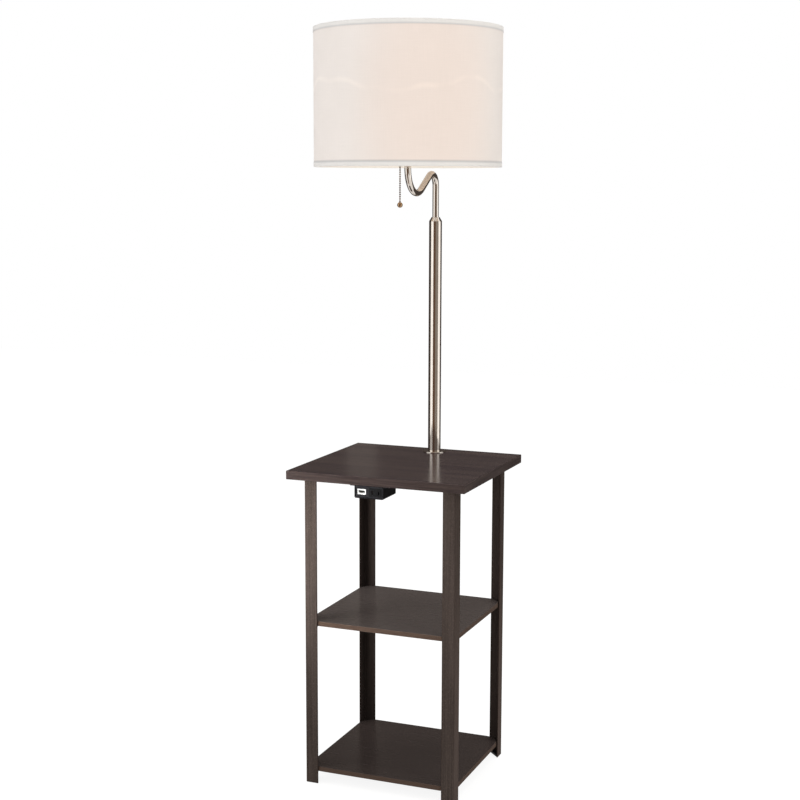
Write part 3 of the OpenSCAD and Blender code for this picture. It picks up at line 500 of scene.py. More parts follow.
@dataclass(frozen=True)
class MouldedPlastic(Finish):
    """Moulded plastic or rubber part from a spark-eroded mould.

    The mould leaves a fine satin grain, and the edges are softly rounded where
    the mould was; the rounded edges get a painted highlight, and openings behind a set depth get painted
    shade.
    """

    colour: str
    sheen: str
    gloss: float
    # rim: colour of the painted highlight on the edges
    rim: str = "#55565a"
    level: float = 0.25
    painted_shade_from: float = 10.0  # Y in metres behind which openings get painted shade, by default far behind every part
    painted_shade_fade: float = 0.6 * MM
    grain: float = 0.9 * MM  # mould grain is about 0.1 mm, drawn coarser so that it shows
    grain_deep: float = 0.02 * MM
    flow: Point = (25 * MM, 25 * MM, 9 * MM)
    edge_r: float = 0.8 * MM

    def shade(self, tree: Tree) -> bpy.types.Node:
        """Builds the mould grain over rounded edges."""
        grain = self.grit(tree, (self.grain,) * 3, 3)
        flow = self.grit(tree, self.flow, 2)
        colour = self.tint(tree, self.span(tree, flow, 0.35, 0.65, 0, 1), self.colour, self.sheen)
        rounded, rim = self.edges(tree, self.edge_r)
        # painted highlight: half the edge share turns the colour towards the rim colour
        tone_and_edge_highlight = add_node(tree, "ShaderNodeMath", {0: rim, 1: 0.5}, operation="MULTIPLY").outputs[0]
        colour = self.tint(tree, tone_and_edge_highlight, colour, self.rim)
        back = add_node(tree, "ShaderNodeSeparateXYZ", {
            0: add_node(tree, "ShaderNodeTexCoord").outputs["Object"]}).outputs["Y"]
        # painted shade: faces behind a set depth darken towards near black
        inside = self.span(tree, back, self.painted_shade_from, self.painted_shade_from + self.painted_shade_fade, 0, 1)
        return add_node(tree, "ShaderNodeBsdfPrincipled", {
            "Base Color": self.tint(tree, inside, colour, PAINTED_CAVITY_SHADE),
            "IOR": 1.5, "Specular IOR Level": self.level,
            "Roughness": self.span(tree, grain, 0.3, 0.7, self.gloss - 0.05, self.gloss + 0.07),
            "Normal": self.relief(tree, grain, self.grain_deep, 0.5, rounded)})


@dataclass(frozen=True)
class LaminatedCircuit(Finish):
    """Glass-fibre board with green solder resist over etched copper tracks.

    The resist is glossy, and the tracks under it show as paler lines.
    """

    resist: str = "#1f4a30"
    track: str = "#3c7048"
    track_pitch: float = 2.2 * MM
    track_deep: float = 0.03 * MM

    def shade(self, tree: Tree) -> bpy.types.Node:
        """Builds stepped tracks under the resist."""
        spot = add_node(tree, "ShaderNodeTexCoord").outputs["Object"]
        place = add_node(tree, "ShaderNodeMapping", {"Vector": spot, "Scale": (1 / self.track_pitch,) * 3})
        cells = add_node(tree, "ShaderNodeTexVoronoi", {"Vector": place.outputs[0], "Scale": 1.0},
                         distance="MANHATTAN", feature="F1")
        lines = self.span(tree, cells.outputs["Distance"], 0.42, 0.5, 0, 1)
        return add_node(tree, "ShaderNodeBsdfPrincipled", {
            "Base Color": self.tint(tree, lines, self.resist, self.track), "Roughness": 0.25, "IOR": 1.5,
            "Normal": self.relief(tree, lines, self.track_deep)})


@dataclass(frozen=True)
class WovenCloth(Finish):
    """Plain-woven cloth glued to the shade: linen on the wall, cotton tape on the hems.

    Uneven threads give short pale and dark slubs both ways. The bulb's light is
    painted on: a faint warm column and a wandering pale line on the linen, and a glow
    on the tapes' inner faces. The tape edges and the lap at the back get painted
    shadow lines.
    """

    thread: str
    shadow: str
    pitch: float
    slub: float
    painted_warmth: float
    streak: float
    painted_inner_glow: float
    axis: Point = (3.5 * MM, -3 * MM, 0.0)
    warm: str = "#fff8f4"
    pale: str = "#fff0d8"
    once: float = 0.314  # scale of a wave texture that repeats once a metre
    thread_deep: float = 0.25 * MM
    slub_wide: float = 1.9 * MM  # real slubs are about 1 mm wide, drawn wider so that they show
    slub_across: float = 38 * MM
    slub_up: float = 52 * MM
    patch: float = 90 * MM
    bulb: Point = (36.2 * MM, -49.7 * MM, 1290 * MM)
    upright: Point = (1.0, 1.0, 0.3)
    column_r: Pair = (119 * MM, 150 * MM)  # full tint up to the first reach, none from the second
    streak_h: float = 1326 * MM
    streak_w: float = 6.5 * MM
    streak_wander: float = 20 * MM
    streak_long: Pair = (120 * MM, 60 * MM)  # length of its bends and of its breaks
    # edge: colour of the painted shadow lines along the tape edges and the lap
    edge: str = "#aaaaac"
    middle: float = 1308.03 * MM
    edge_at: float = 118.2 * MM  # height of the tape's edge above and below the middle
    edge_w: float = 3.0 * MM
    edge_fade: float = 10 * MM
    lap_at: float = 546 * MM  # start of the lap, measured round from the front
    lap_w: float = 1.2 * MM

    def weave(self, tree: Tree, cloth: Socket) -> tuple[Socket, Socket]:
        """Builds the threads and their uneven shade.

        Args:
            tree: Tree that gets the threads.
            cloth: The cloth's own measure in metres.

        Returns:
            The height of the threads, and the share of pale thread.
        """
        waves = [add_node(tree, "ShaderNodeTexWave", {
            "Vector": cloth, "Scale": self.once / self.pitch, "Distortion": 1.2, "Detail": 1.0,
            "Detail Scale": 0.6}, bands_direction=run).outputs["Fac"] for run in ("X", "Y")]
        threads = add_node(tree, "ShaderNodeMath", {0: waves[0], 1: waves[1]}, operation="ADD").outputs[0]
        across = self.grit(tree, (self.slub_across, self.slub_wide, 1), 3, cloth)
        up = self.grit(tree, (self.slub_wide, self.slub_up, 1), 3, cloth)
        slubs = add_node(tree, "ShaderNodeMath", {0: across, 1: up}, operation="ADD").outputs[0]
        patches = self.grit(tree, (self.patch, self.patch, 1), 2, cloth)
        share = add_node(tree, "ShaderNodeMath", {
            0: self.span(tree, slubs, 0.7, 1.3, 0.5 - self.slub, 0.5 + self.slub),
            1: self.span(tree, threads, 0, 2, -0.06, 0.06)}, operation="ADD").outputs[0]
        return threads, add_node(tree, "ShaderNodeMath", {
            0: share, 1: self.span(tree, patches, 0.35, 0.65, -0.08, 0.08)}, operation="ADD").outputs[0]

    def lines(self, tree: Tree, round_way: Socket, height: Socket) -> Socket:
        """Finds the painted shadow lines along the tape's edges, darker on the lower tape, and along the edge
        of the lap at the back.

        Args:
            tree: Tree that gets the lines.
            round_way: Way round the shade from its front.
            height: Height on the shade.

        Returns:
            One on a line and zero off it.
        """
        near = self.away(tree, self.away(tree, height, self.middle), self.edge_at)
        # painted shade: the line on the lower tape is darker than on the upper
        low = self.span(tree, height, self.middle - self.edge_fade, self.middle + self.edge_fade, 0.5, 0.38)
        tape = add_node(tree, "ShaderNodeMath", {
            0: self.span(tree, near, 0.1 * self.edge_w, self.edge_w, 1, 0), 1: low},
            operation="MULTIPLY").outputs[0]
        lap = self.span(tree, self.away(tree, round_way, self.lap_at), 0.2 * self.lap_w, self.lap_w, 0.6, 0)
        return add_node(tree, "ShaderNodeMath", {0: tape, 1: lap}, operation="MAXIMUM").outputs[0]

    def column(self, tree: Tree) -> Socket:
        """Builds the share of painted warm light, which is full in a column in front of the bulb."""
        spot = add_node(tree, "ShaderNodeTexCoord").outputs["Object"]
        offset = add_node(tree, "ShaderNodeVectorMath", {0: spot, 1: self.bulb}, operation="SUBTRACT")
        flat = add_node(tree, "ShaderNodeVectorMath", {
            0: offset.outputs[0], 1: self.upright}, operation="MULTIPLY").outputs[0]
        reach = add_node(tree, "ShaderNodeVectorMath", {0: flat}, operation="LENGTH").outputs["Value"]
        return self.span(tree, reach, *self.column_r, self.painted_warmth, 0.0, "SMOOTHSTEP")

    def painted_light_streak(self, tree: Tree, cloth: Socket, height: Socket) -> Socket:
        """Builds the painted light of the pale line that wanders round the cloth.

        Args:
            tree: Tree that gets the line.
            cloth: The cloth's own measure in metres.
            height: Height on the shade.

        Returns:
            The strength of its light.
        """
        bends, breaks = self.streak_long
        wander = self.span(tree, self.grit(tree, (bends, 9, 1), 1, cloth), 0.3, 0.7,
                           -self.streak_wander, self.streak_wander)
        path = add_node(tree, "ShaderNodeMath", {0: wander, 1: self.streak_h}, operation="ADD").outputs[0]
        broken = self.span(tree, self.grit(tree, (breaks, 7, 1), 1, cloth), 0.38, 0.6,
                           0.2 * self.streak, self.streak)
        near = self.span(tree, self.away(tree, height, path), 0.15 * self.streak_w, self.streak_w, 1, 0)
        return add_node(tree, "ShaderNodeMath", {0: near, 1: broken}, operation="MULTIPLY").outputs[0]

    def shade(self, tree: Tree) -> bpy.types.Node:
        """Builds threads, painted shadow lines and the bulb's painted light, inside and out, from the cloth's
        own measure.
        """
        cloth = add_node(tree, "ShaderNodeUVMap", uv_map="cloth").outputs[0]
        parts = add_node(tree, "ShaderNodeSeparateXYZ", {0: cloth})
        round_way, height = parts.outputs["X"], parts.outputs["Y"]
        threads, share = self.weave(tree, cloth)
        yarn = self.tint(tree, share, self.shadow, self.thread)
        # painted light: the warm column in front of the bulb
        colour = self.tint(tree, self.column(tree), yarn, self.warm, "MULTIPLY")
        colour = self.tint(tree, self.lines(tree, round_way, height), colour, self.edge)
        # painted light: faces turned to the axis get a glow
        inner = self.span(tree, self.outward(tree, self.axis), -0.7, -0.2, self.painted_inner_glow, 0)
        # painted light: the wandering pale streak glows though the cloth is no lamp
        light = add_node(tree, "ShaderNodeMath", {
            0: self.painted_light_streak(tree, cloth, height), 1: inner}, operation="ADD").outputs[0]
        return add_node(tree, "ShaderNodeBsdfPrincipled", {
            "Base Color": colour, "Roughness": 0.9, "IOR": 1.46, "Specular IOR Level": 0.2,
            "Sheen Weight": 0.15, "Sheen Roughness": 0.5, "Emission Color": to_linear(self.pale),
            "Emission Strength": light, "Normal": self.relief(tree, threads, self.thread_deep, 0.35)})


@dataclass(frozen=True)
class GlowingFilm(Finish):
    """Translucent white plastic or glass lit by the bulb: the bulb's own glass glows, and the lining carries
    painted light.

    The milky body gives a soft glow without a clear highlight, and on the lining
    the painted glow is brightest at the lower edge, round a point below the bulb.
    """

    colour: str
    clouded: str
    gloss: float
    glow: float
    far_glow: float
    glow_colour: str = "#ffdcbc"
    source: Point = (3.5 * MM, -3 * MM, 1190 * MM)
    reach: Pair = (172 * MM, 205 * MM)  # glow up to the first distance, far_glow from the second
    cloud: Point = (30 * MM, 30 * MM, 60 * MM)
    skin: float = 2 * MM
    skin_deep: float = 0.01 * MM

    def shade(self, tree: Tree) -> bpy.types.Node:
        """Builds a clouded body with a glow that fades away from the bulb."""
        spot = add_node(tree, "ShaderNodeTexCoord").outputs["Object"]
        far = add_node(tree, "ShaderNodeVectorMath", {
            0: spot, 1: self.source}, operation="DISTANCE").outputs["Value"]
        cloud = self.span(tree, self.grit(tree, self.cloud, 3), 0.35, 0.65, 0, 1)
        skin = self.grit(tree, (self.skin,) * 3, 2)
        return add_node(tree, "ShaderNodeBsdfPrincipled", {
            "Base Color": self.tint(tree, cloud, self.colour, self.clouded),
            "Roughness": self.span(tree, skin, 0.3, 0.7, self.gloss, self.gloss + 0.08), "IOR": 1.5,
            "Emission Color": to_linear(self.glow_colour),
            "Emission Strength": self.span(tree, far, *self.reach, self.glow, self.far_glow),
            "Normal": self.relief(tree, skin, self.skin_deep, 0.4)})


TABLE_WOOD = StainedBoard("fibreboard_espresso_lacquered", "#30262a", "#4e423f", "#2e2524", 0.17)
TABLE_BAND = StainedBoard("edge_band_espresso_lacquered", "#261d1c", "#52453f", "#2c2221", 0.30, 0.35, 0.2,
                          grain_wide=3.2 * MM)
# paler copy of the shelf board: painted light on the middle shelf, which the tabletop shades
MIDDLE_WOOD_PAINTED_PALER = StainedBoard("fibreboard_espresso_satin_painted_paler", "#544c49", "#5c5450", "#4a3c34", 0.19, 0.06)
SHELF_WOOD = StainedBoard("fibreboard_espresso_satin", "#3a322f", "#433a37", "#45372f", 0.22, 0.08)
SHELF_BAND = StainedBoard("edge_band_espresso_satin", "#372a23", "#54453a", "#4b3c34", 0.45, 0.2, 0.08)
BRONZE_COAT = PowderCoat("steel_bronze_powder_coated", "#37302c", "#4b423e")
SATIN_NICKEL = PlatedMetal("steel_nickel_plated_satin", "#d6cec5", "#d0c7bd", 0.09, Run.ALONG_Z)
BRIGHT_NICKEL = PlatedMetal("steel_nickel_plated_polished", "#d9cfc3", "#cfc4b7", 0.07, Run.ALONG_Z)
ZINC_STEEL = PlatedMetal("steel_zinc_plated", "#b9bcc0", "#9fa4aa", 0.32, Run.ALONG_X, 1.2 * MM)
# brown-tinted nickel: painted reflection of warm surroundings on the chain and ball
CHAIN_NICKEL_PAINTED_BROWN = PlatedMetal("steel_nickel_beads_painted_reflection", "#86705a", "#5e4b3a", 0.1, Run.ALONG_Z)
BALL_NICKEL_PAINTED_BROWN = PlatedMetal("steel_nickel_ball_painted_reflection", "#b79d7e", "#98795b", 0.06, Run.ALONG_Z)
BRASS = PlatedMetal("brass_strip_stamped", "#d8b46a", "#c39c52", 0.25, Run.ALONG_Y)
CAP_ALUMINIUM = PlatedMetal("aluminium_drawn_bulb_cap", "#c8c9ca", "#b4b6b8", 0.28, Run.ALONG_Z)
BLACK_PLASTIC = MouldedPlastic("abs_black_moulded", "#0b0b0c", "#101012", 0.38, "#4c4b4f", 0.1)
CHARCOAL_PLASTIC = MouldedPlastic("abs_charcoal_moulded", "#1b1a1d", "#232225", 0.42, "#5b5a5f", 0.17)
# darker copy of the charcoal plastic: painted shade on the outlet under the table edge
OUTLET_PLASTIC_PAINTED_SHADE = MouldedPlastic("abs_charcoal_outlet_painted_shade", "#101011", "#171718", 0.42, "#4a494d", 0.12,
                                -152.2 * MM)
RUBBER = MouldedPlastic("rubber_black_moulded", "#121110", "#181716", 0.7, "#262422", 0.2)
PHENOLIC = MouldedPlastic("phenolic_black_moulded", "#1b1a19", "#242220", 0.30, "#3a3835")
WHITE_PLASTIC = MouldedPlastic("abs_white_moulded", "#e9e9e6", "#dededa", 0.38, "#f0f0ee")
NYLON = MouldedPlastic("nylon_natural_turned", "#e4dcc8", "#d8cfb9", 0.40, "#ece5d4")
CIRCUIT = LaminatedCircuit("glass_fibre_board_green_resist")
# LINEN carries the painted warm column and pale streak, HEM_COTTON the painted inner glow
LINEN = WovenCloth("linen_offwhite_plain_woven", "#f1e9e3", "#e5ddd6", 0.9 * MM, 0.12, 1.0, 0.045, 0.0)
HEM_COTTON = WovenCloth("cotton_tape_offwhite_woven", "#ebe8e4", "#dfdcd8", 0.8 * MM, 0.16, 0.0, 0.0, 0.30)
# painted light: the lining glows though it is no lamp
LINING = GlowingFilm("styrene_film_milky", "#cfc9c3", "#c6bfb8", 0.35, 0.36, 0.22, "#ffe9d2")
BULB_GLASS = GlowingFilm("glass_bulb_frosted", "#dcd7ce", "#d3cdc3", 0.30, 0.4, 0.4)


# ---- Sub-assemblies ----


@dataclass(frozen=True)
class Board:
    """One stained board with a band of its own round the edge."""

    node: str
    low: Pair
    high: Pair
    top: float
    thick: float
    corner_r: float
    arris_r: float
    face: StainedBoard
    band: StainedBoard
    slot: str

    def build(self) -> bpy.types.Object:
        """Makes the board from a block with rounded corners and softened arrises.

        Returns:
            The board.
        """
        bm = bmesh.new()
        bmesh.ops.create_cube(bm, size=1)
        size = [b - a for a, b in zip(self.low, self.high)]
        middle = [0.5 * (a + b) for a, b in zip(self.low, self.high)]
        bmesh.ops.scale(bm, verts=bm.verts, vec=(*size, self.thick))
        bmesh.ops.translate(bm, verts=bm.verts, vec=(*middle, self.top - 0.5 * self.thick))
        upright = [e for e in bm.edges if abs(e.verts[0].co.z - e.verts[1].co.z) > 0.5 * self.thick]
        soften(bm, upright, self.corner_r, 16)
        soften(bm, bent_edges(bm, 80), self.arris_r)
        seal(bm)
        for face in bm.faces:
            face.material_index = int(abs(face.normal.z) < 0.3)
        board = keep_piece(bm, f"{self.node}_board", Body.BASE, self.face, (self.node,), 50, True)
        board.data.materials.append(self.band.material())
        return board


@dataclass
class SideTable:
    """Square table of three stained boards between four steel angle legs."""

    corners: tuple[str, ...] = ("front_left", "front_right", "back_left", "back_right")
    boards: tuple[str, ...] = ("tabletop", "middle_shelf", "bottom_shelf")
    top_low: Pair = (-179.5 * MM, -157 * MM)
    top_high: Pair = (176.5 * MM, 179 * MM)
    top_h: float = 617 * MM
    top_t: float = 16.5 * MM
    top_corner_r: float = 1.2 * MM
    top_arris_r: float = 0.8 * MM
    shelf_low: Pair = (-151.7 * MM, -128.7 * MM)
    shelf_high: Pair = (148.7 * MM, 150.7 * MM)
    shelf_t: float = 9.5 * MM
    middle_top: float = 323.5 * MM
    bottom_top: float = 33.5 * MM
    corner_r: float = 30 * MM
    arris_r: float = 0.6 * MM
    frame_low: Pair = (-154 * MM, -131 * MM)
    frame_high: Pair = (151 * MM, 153 * MM)
    leg_wall: float = 2 * MM
    leg_bend: float = 1 * MM
    glide_side: float = 22.6 * MM
    glide_h: float = 5 * MM
    glide_lift: float = 0.2 * MM  # above the floor, so that the legs' feet stand on it
    glide_arris_r: float = 0.5 * MM

    def glide(self, corner: str) -> bpy.types.Object:
        """Makes the black rubber pad that fills the foot of one angle leg.

        Args:
            corner: Name of the leg's corner.

        Returns:
            The pad.
        """
        side_x = 1 if "right" in corner else -1
        side_y = 1 if "back" in corner else -1
        reach = (self.frame_high if side_x > 0 else self.frame_low)[0] - side_x * self.leg_wall
        depth = (self.frame_high if side_y > 0 else self.frame_low)[1] - side_y * self.leg_wall
        cut = 1.2 * self.leg_bend
        outline = [(reach - side_x * cut, depth), (reach - side_x * self.glide_side, depth),
                   (reach, depth - side_y * self.glide_side), (reach, depth - side_y * cut)]
        bm = bmesh.new()
        foot = bm.faces.new([bm.verts.new((x, y, self.glide_lift)) for x, y in outline])
        lifted = bmesh.ops.extrude_face_region(bm, geom=[foot])["geom"]
        bmesh.ops.translate(bm, verts=[g for g in lifted if isinstance(g, bmesh.types.BMVert)],
                            vec=(0, 0, self.glide_h))
        bmesh.ops.recalc_face_normals(bm, faces=bm.faces)
        soften(bm, list(bm.edges), self.glide_arris_r)
        seal(bm)
        return keep_piece(bm, f"corner_glide_{corner}", Body.BASE, RUBBER, (), 50, True)

    def build(self) -> None:
        """Builds the boards and glides, and dresses the legs, their brackets and their screws."""
        Board("tabletop", self.top_low, self.top_high, self.top_h, self.top_t, self.top_corner_r,
              self.top_arris_r, TABLE_WOOD, TABLE_BAND, "espresso_wood").build()
        for node, top, finish in (("middle_shelf", self.middle_top, MIDDLE_WOOD_PAINTED_PALER),
                                  ("bottom_shelf", self.bottom_top, SHELF_WOOD)):
            Board(node, self.shelf_low, self.shelf_high, top, self.shelf_t, self.corner_r, self.arris_r,
                  finish, SHELF_BAND, "espresso_shelf").build()
        for corner in self.corners:
            self.glide(corner)
        dress(TABLE_WOOD, "tabletop")
        dress(MIDDLE_WOOD_PAINTED_PALER, "middle_shelf")
        dress(SHELF_WOOD, "bottom_shelf")
        dress(BRONZE_COAT, *(f"leg_{c}" for c in self.corners), *(f"{b}_brackets" for b in self.boards))
        dress(ZINC_STEEL, *(f"{b}_screws" for b in self.boards))
        log.info("table dressed: %d boards, %d legs", len(self.boards), len(self.corners))


@dataclass
class Pole:
    """Upright tube with its foot plate, cone cap and the swivel inside it."""

    axis: Point = (3.5 * MM, 145 * MM, 0.0)
    tube_r: float = 12.7 * MM
    bore_r: float = 11.5 * MM
    foot_low: float = 617 * MM
    foot_top: float = 619 * MM
    foot_r: float = 23 * MM  # the photograph's plate is wider than the node's 19 mm
    foot_rim_r: float = 1 * MM
    foot_hole_r: float = 5.05 * MM
    tube_top: float = 1077 * MM
    cap_low: float = 1035 * MM
    cap_floor: float = 1039 * MM
    cap_plug_r: float = 11.45 * MM
    cap_hole_r: float = 5.35 * MM
    mouth_r: float = 7.65 * MM
    lip: float = 0.8 * MM
    band: float = 0.7 * MM
    cone_top: float = 1085.5 * MM
    steps: int = 96

    def loop(self, name: str, node: str, outline: list[Pair], soft: float) -> bpy.types.Object:
        """Turns one closed outline about the pole's axis and softens its arrises.

        Args:
            name: Name of the piece.
            node: CAD node that it stands for.
            outline: Radius and height of each corner, once round the section.
            soft: Width of the softened arrises.

        Returns:
            The turned piece.
        """
        bm = turned([*outline, outline[0]], self.axis, self.steps)
        soften(bm, bent_edges(bm, 20), soft)
        bmesh.ops.recalc_face_normals(bm, faces=bm.faces)
        return keep_piece(bm, name, Body.BASE, SATIN_NICKEL, (node,), 50, True)

    def foot_plate(self) -> bpy.types.Object:
        """Makes the round plate on the tabletop, with a rounded rim."""
        soft = self.foot_rim_r
        rim = [(self.foot_r - soft + soft * math.cos(a), self.foot_top - soft + soft * math.sin(a))
               for a in (math.radians(15 * i) for i in range(7))]
        return self.loop("pole_foot_plate", "pole_foot_flange", [
            (self.foot_hole_r, self.foot_low), (self.foot_r, self.foot_low), *rim,
            (self.foot_hole_r, self.foot_top)], 0.1 * MM)

    def tube(self) -> bpy.types.Object:
        """Makes the tube between the plate and the cap."""
        return self.loop("pole_drawn_tube", "pole_tube", [
            (self.bore_r, self.foot_top), (self.tube_r, self.foot_top), (self.tube_r, self.tube_top),
            (self.bore_r, self.tube_top)], 0.15 * MM)

    def cone(self) -> bpy.types.Object:
        """Makes the turned cap with its plug, cone and the mouth that holds the bushing."""
        outer = self.mouth_r + self.lip
        return self.loop("pole_turned_cone", "pole_cone_cap", [
            (self.cap_hole_r, self.cap_low), (self.cap_plug_r, self.cap_low),
            (self.cap_plug_r, self.tube_top), (self.tube_r, self.tube_top),
            (self.tube_r, self.tube_top + self.band), (outer, self.cone_top - self.band),
            (outer, self.cone_top), (self.mouth_r, self.cone_top),
            (self.mouth_r, self.cap_floor), (self.cap_hole_r, self.cap_floor)], 0.2 * MM)

    def build(self) -> None:
        """Turns the parts in sight and dresses the hardware that holds them."""
        self.foot_plate()
        self.tube()
        self.cone()
        dress(SATIN_NICKEL, "pole_tube", "pole_foot_flange", "pole_cone_cap")
        dress(ZINC_STEEL, "pole_foot_plug", "pole_stud", "clamp_washer", "clamp_nut", "swivel_stud",
              "swivel_stop_washer", "swivel_lock_nut", "swivel_stop_pin")
        dress(NYLON, "swivel_bushing")
        log.info("pole dressed")


@dataclass
class SwivelArm:
    """Thin tube bent into an S that carries the lamp head forward."""

    foot: Point = (3.5 * MM, 145 * MM, 1039.1 * MM)
    tube_r: float = 6.35 * MM
    wall: float = 1.0 * MM
    bend_start: float = 1146 * MM
    upper_r: float = 23 * MM
    lower_r: float = 46 * MM
    angle: float = 121.0
    slant: float = 50.70 * MM
    reach: float = 148 * MM
    low_bend_h: float = 1179.03 * MM
    top: float = 1186.03 * MM
    bend_steps: int = 48
    sides: int = 48

    def sweep(self, bm: Mesh, rim: list[Any], shift: Vector) -> list[Any]:
        """Pulls the open end straight on.

        Args:
            bm: Mesh of the tube so far.
            rim: Edges of its open end.
            shift: Way that the end moves.

        Returns:
            Edges of the new end.
        """
        made = bmesh.ops.extrude_edge_only(bm, edges=rim)["geom"]
        bmesh.ops.translate(bm, verts=[g for g in made if isinstance(g, bmesh.types.BMVert)], vec=shift)
        return [g for g in made if isinstance(g, bmesh.types.BMEdge)]

    def bend(self, bm: Mesh, rim: list[Any], centre: Point, angle: float) -> list[Any]:
        """Pulls the open end round a bend.

        Args:
            bm: Mesh of the tube so far.
            rim: Edges of its open end.
            centre: Centre of the bend.
            angle: Angle of the bend in degrees about +Y.

        Returns:
            Edges of the new end.
        """
        made = bmesh.ops.spin(bm, geom=rim, cent=centre, axis=(0, 1, 0), angle=math.radians(angle),
                              steps=self.bend_steps)["geom_last"]
        return [g for g in made if isinstance(g, bmesh.types.BMEdge)]

    def build(self) -> None:
        """Makes the bent tube as one smooth skin with a real wall."""
        bm = bmesh.new()
        low = self.foot[2]
        bmesh.ops.create_circle(bm, segments=self.sides, radius=self.tube_r,
                                matrix=Matrix.Translation((0, 0, low)))
        rim = self.sweep(bm, list(bm.edges), Vector((0, 0, self.bend_start - low)))
        rim = self.bend(bm, rim, (self.upper_r, 0, self.bend_start), self.angle)
        slope = math.radians(self.angle)
        rim = self.sweep(bm, rim, self.slant * Vector((math.sin(slope), 0, math.cos(slope))))
        rim = self.bend(bm, rim, (self.reach - self.lower_r, 0, self.low_bend_h), -self.angle)
        self.sweep(bm, rim, Vector((0, 0, self.top - self.low_bend_h)))
        seal(bm)
        bmesh.ops.solidify(bm, geom=bm.faces, thickness=self.wall)
        bmesh.ops.transform(bm, verts=bm.verts, matrix=Matrix.Translation((self.foot[0], self.foot[1], 0))
                            @ Matrix.Rotation(-math.pi / 2, 4, "Z"))
        keep_piece(bm, "arm_bent_tube", Body.ARM, SATIN_NICKEL, ("arm_tube",), 60)


@dataclass
class LampHead:
    """Socket, harp and bulb, which the shade hides."""

    def build(self) -> None:
        """Dresses the nodes of the lamp head."""
        dress(BRIGHT_NICKEL, "harp_saddle", "socket_cap", "socket_shell", "chain_guide", "harp", "finial")
        dress(ZINC_STEEL, "head_nipple")
        dress(PHENOLIC, "socket_body")
        dress(BRASS, "socket_screw_shell")
        dress(BULB_GLASS, "bulb_globe")
        dress(CAP_ALUMINIUM, "bulb_base")
        log.info("lamp head dressed")


@dataclass
class DrumShade:
    """Linen drum on two wire rings, with folded tape round both edges."""

    axis: Point = (3.5 * MM, -3 * MM, 0.0)
    low: float = 1181.03 * MM
    high: float = 1435.03 * MM
    tape_outer_r: float = 176 * MM
    cloth_r: float = 175.45 * MM
    cloth_t: float = 0.8 * MM
    tape_t: float = 0.5 * MM
    tape_h: float = 9 * MM
    inner_h: float = 4.95 * MM
    inner_r: float = 170.2 * MM
    gap: float = 0.05 * MM  # between the wall's rim and the fold of a tape
    fold: float = 0.3 * MM
    steps: int = 288
    rows: int = 24
    spider_angles: tuple[float, ...] = (90.0, 210.0, 330.0)
    spider_half_w: float = 2.6 * MM  # half the notch in the top tape for each of the spider's arms

    def measure(self, bm: Mesh) -> None:
        """Writes the cloth's own coordinates, in metres round from the front and up, on a drum's faces.

        Args:
            bm: Mesh of the cloth or of a tape.
        """
        cloth = bm.loops.layers.uv.new("cloth")
        for face in bm.faces:
            middle = face.calc_center_median() - Vector(self.axis)
            centre = math.atan2(middle.x, -middle.y)
            for corner in face.loops:
                spot = corner.vert.co - Vector(self.axis)
                turn = math.atan2(spot.x, -spot.y)
                turn += 2 * math.pi * round((centre - turn) / (2 * math.pi))
                inward = self.tape_outer_r - math.hypot(spot.x, spot.y)
                corner[cloth].uv = (turn * self.tape_outer_r, spot.z - inward)

    def wall(self) -> bpy.types.Object:
        """Makes the linen wall between the folds of the two tapes."""
        edge = self.tape_t + self.gap
        low, high = self.low + edge, self.high - edge
        outline = [(self.cloth_r, low + (high - low) * i / self.rows) for i in range(self.rows + 1)]
        bm = turned(outline, self.axis, self.steps)
        bmesh.ops.solidify(bm, geom=bm.faces, thickness=self.cloth_t)
        self.measure(bm)
        return keep_piece(bm, "shade_linen_wall", Body.ARM, LINEN, ("shade_fabric",), 60)

    def tape(self, name: str, node: str, top: bool) -> bpy.types.Object:
        """Makes one folded hem tape.

        Args:
            name: Name of the piece.
            node: CAD node that it stands for.
            top: True for the upper edge of the shade.

        Returns:
            The tape.
        """
        end, way = (self.high, -1) if top else (self.low, 1)
        outer, inner, fold = self.tape_outer_r, self.inner_r, self.fold
        corners = [(outer, self.tape_h), (outer, 0.5 * self.tape_h), (outer, fold), (outer - fold, 0),
                   (inner + fold, 0), (inner, fold), (inner, self.inner_h)]
        bm = turned([(r, end + way * h) for r, h in corners], self.axis, self.steps)
        if top:
            blocked = []
            for face in bm.faces:
                middle = face.calc_center_median() - Vector(self.axis)
                angle = math.degrees(math.atan2(middle.y, middle.x)) % 360
                near = min(abs(angle - a) for a in self.spider_angles) * math.radians(self.inner_r)
                if math.hypot(middle.x, middle.y) < inner + fold and near < self.spider_half_w:
                    blocked.append(face)
            bmesh.ops.delete(bm, geom=blocked, context="FACES")
        self.measure(bm)
        bmesh.ops.solidify(bm, geom=bm.faces, thickness=self.tape_t)
        return keep_piece(bm, name, Body.ARM, HEM_COTTON, (node,), 60)

    def build(self) -> None:
        """Builds the cloth and both tapes, and dresses the rings, spider and lining."""
        linen = self.wall()
        for name, node, top in (("shade_tape_top", "shade_top_hem", True),
                                ("shade_tape_bottom", "shade_bottom_hem", False)):
            tape = self.tape(name, node, top)
        dress(BRIGHT_NICKEL, "shade_spider", "shade_top_ring", "shade_bottom_ring")
        dress(LINING, "shade_liner")
        log.info("shade dressed")


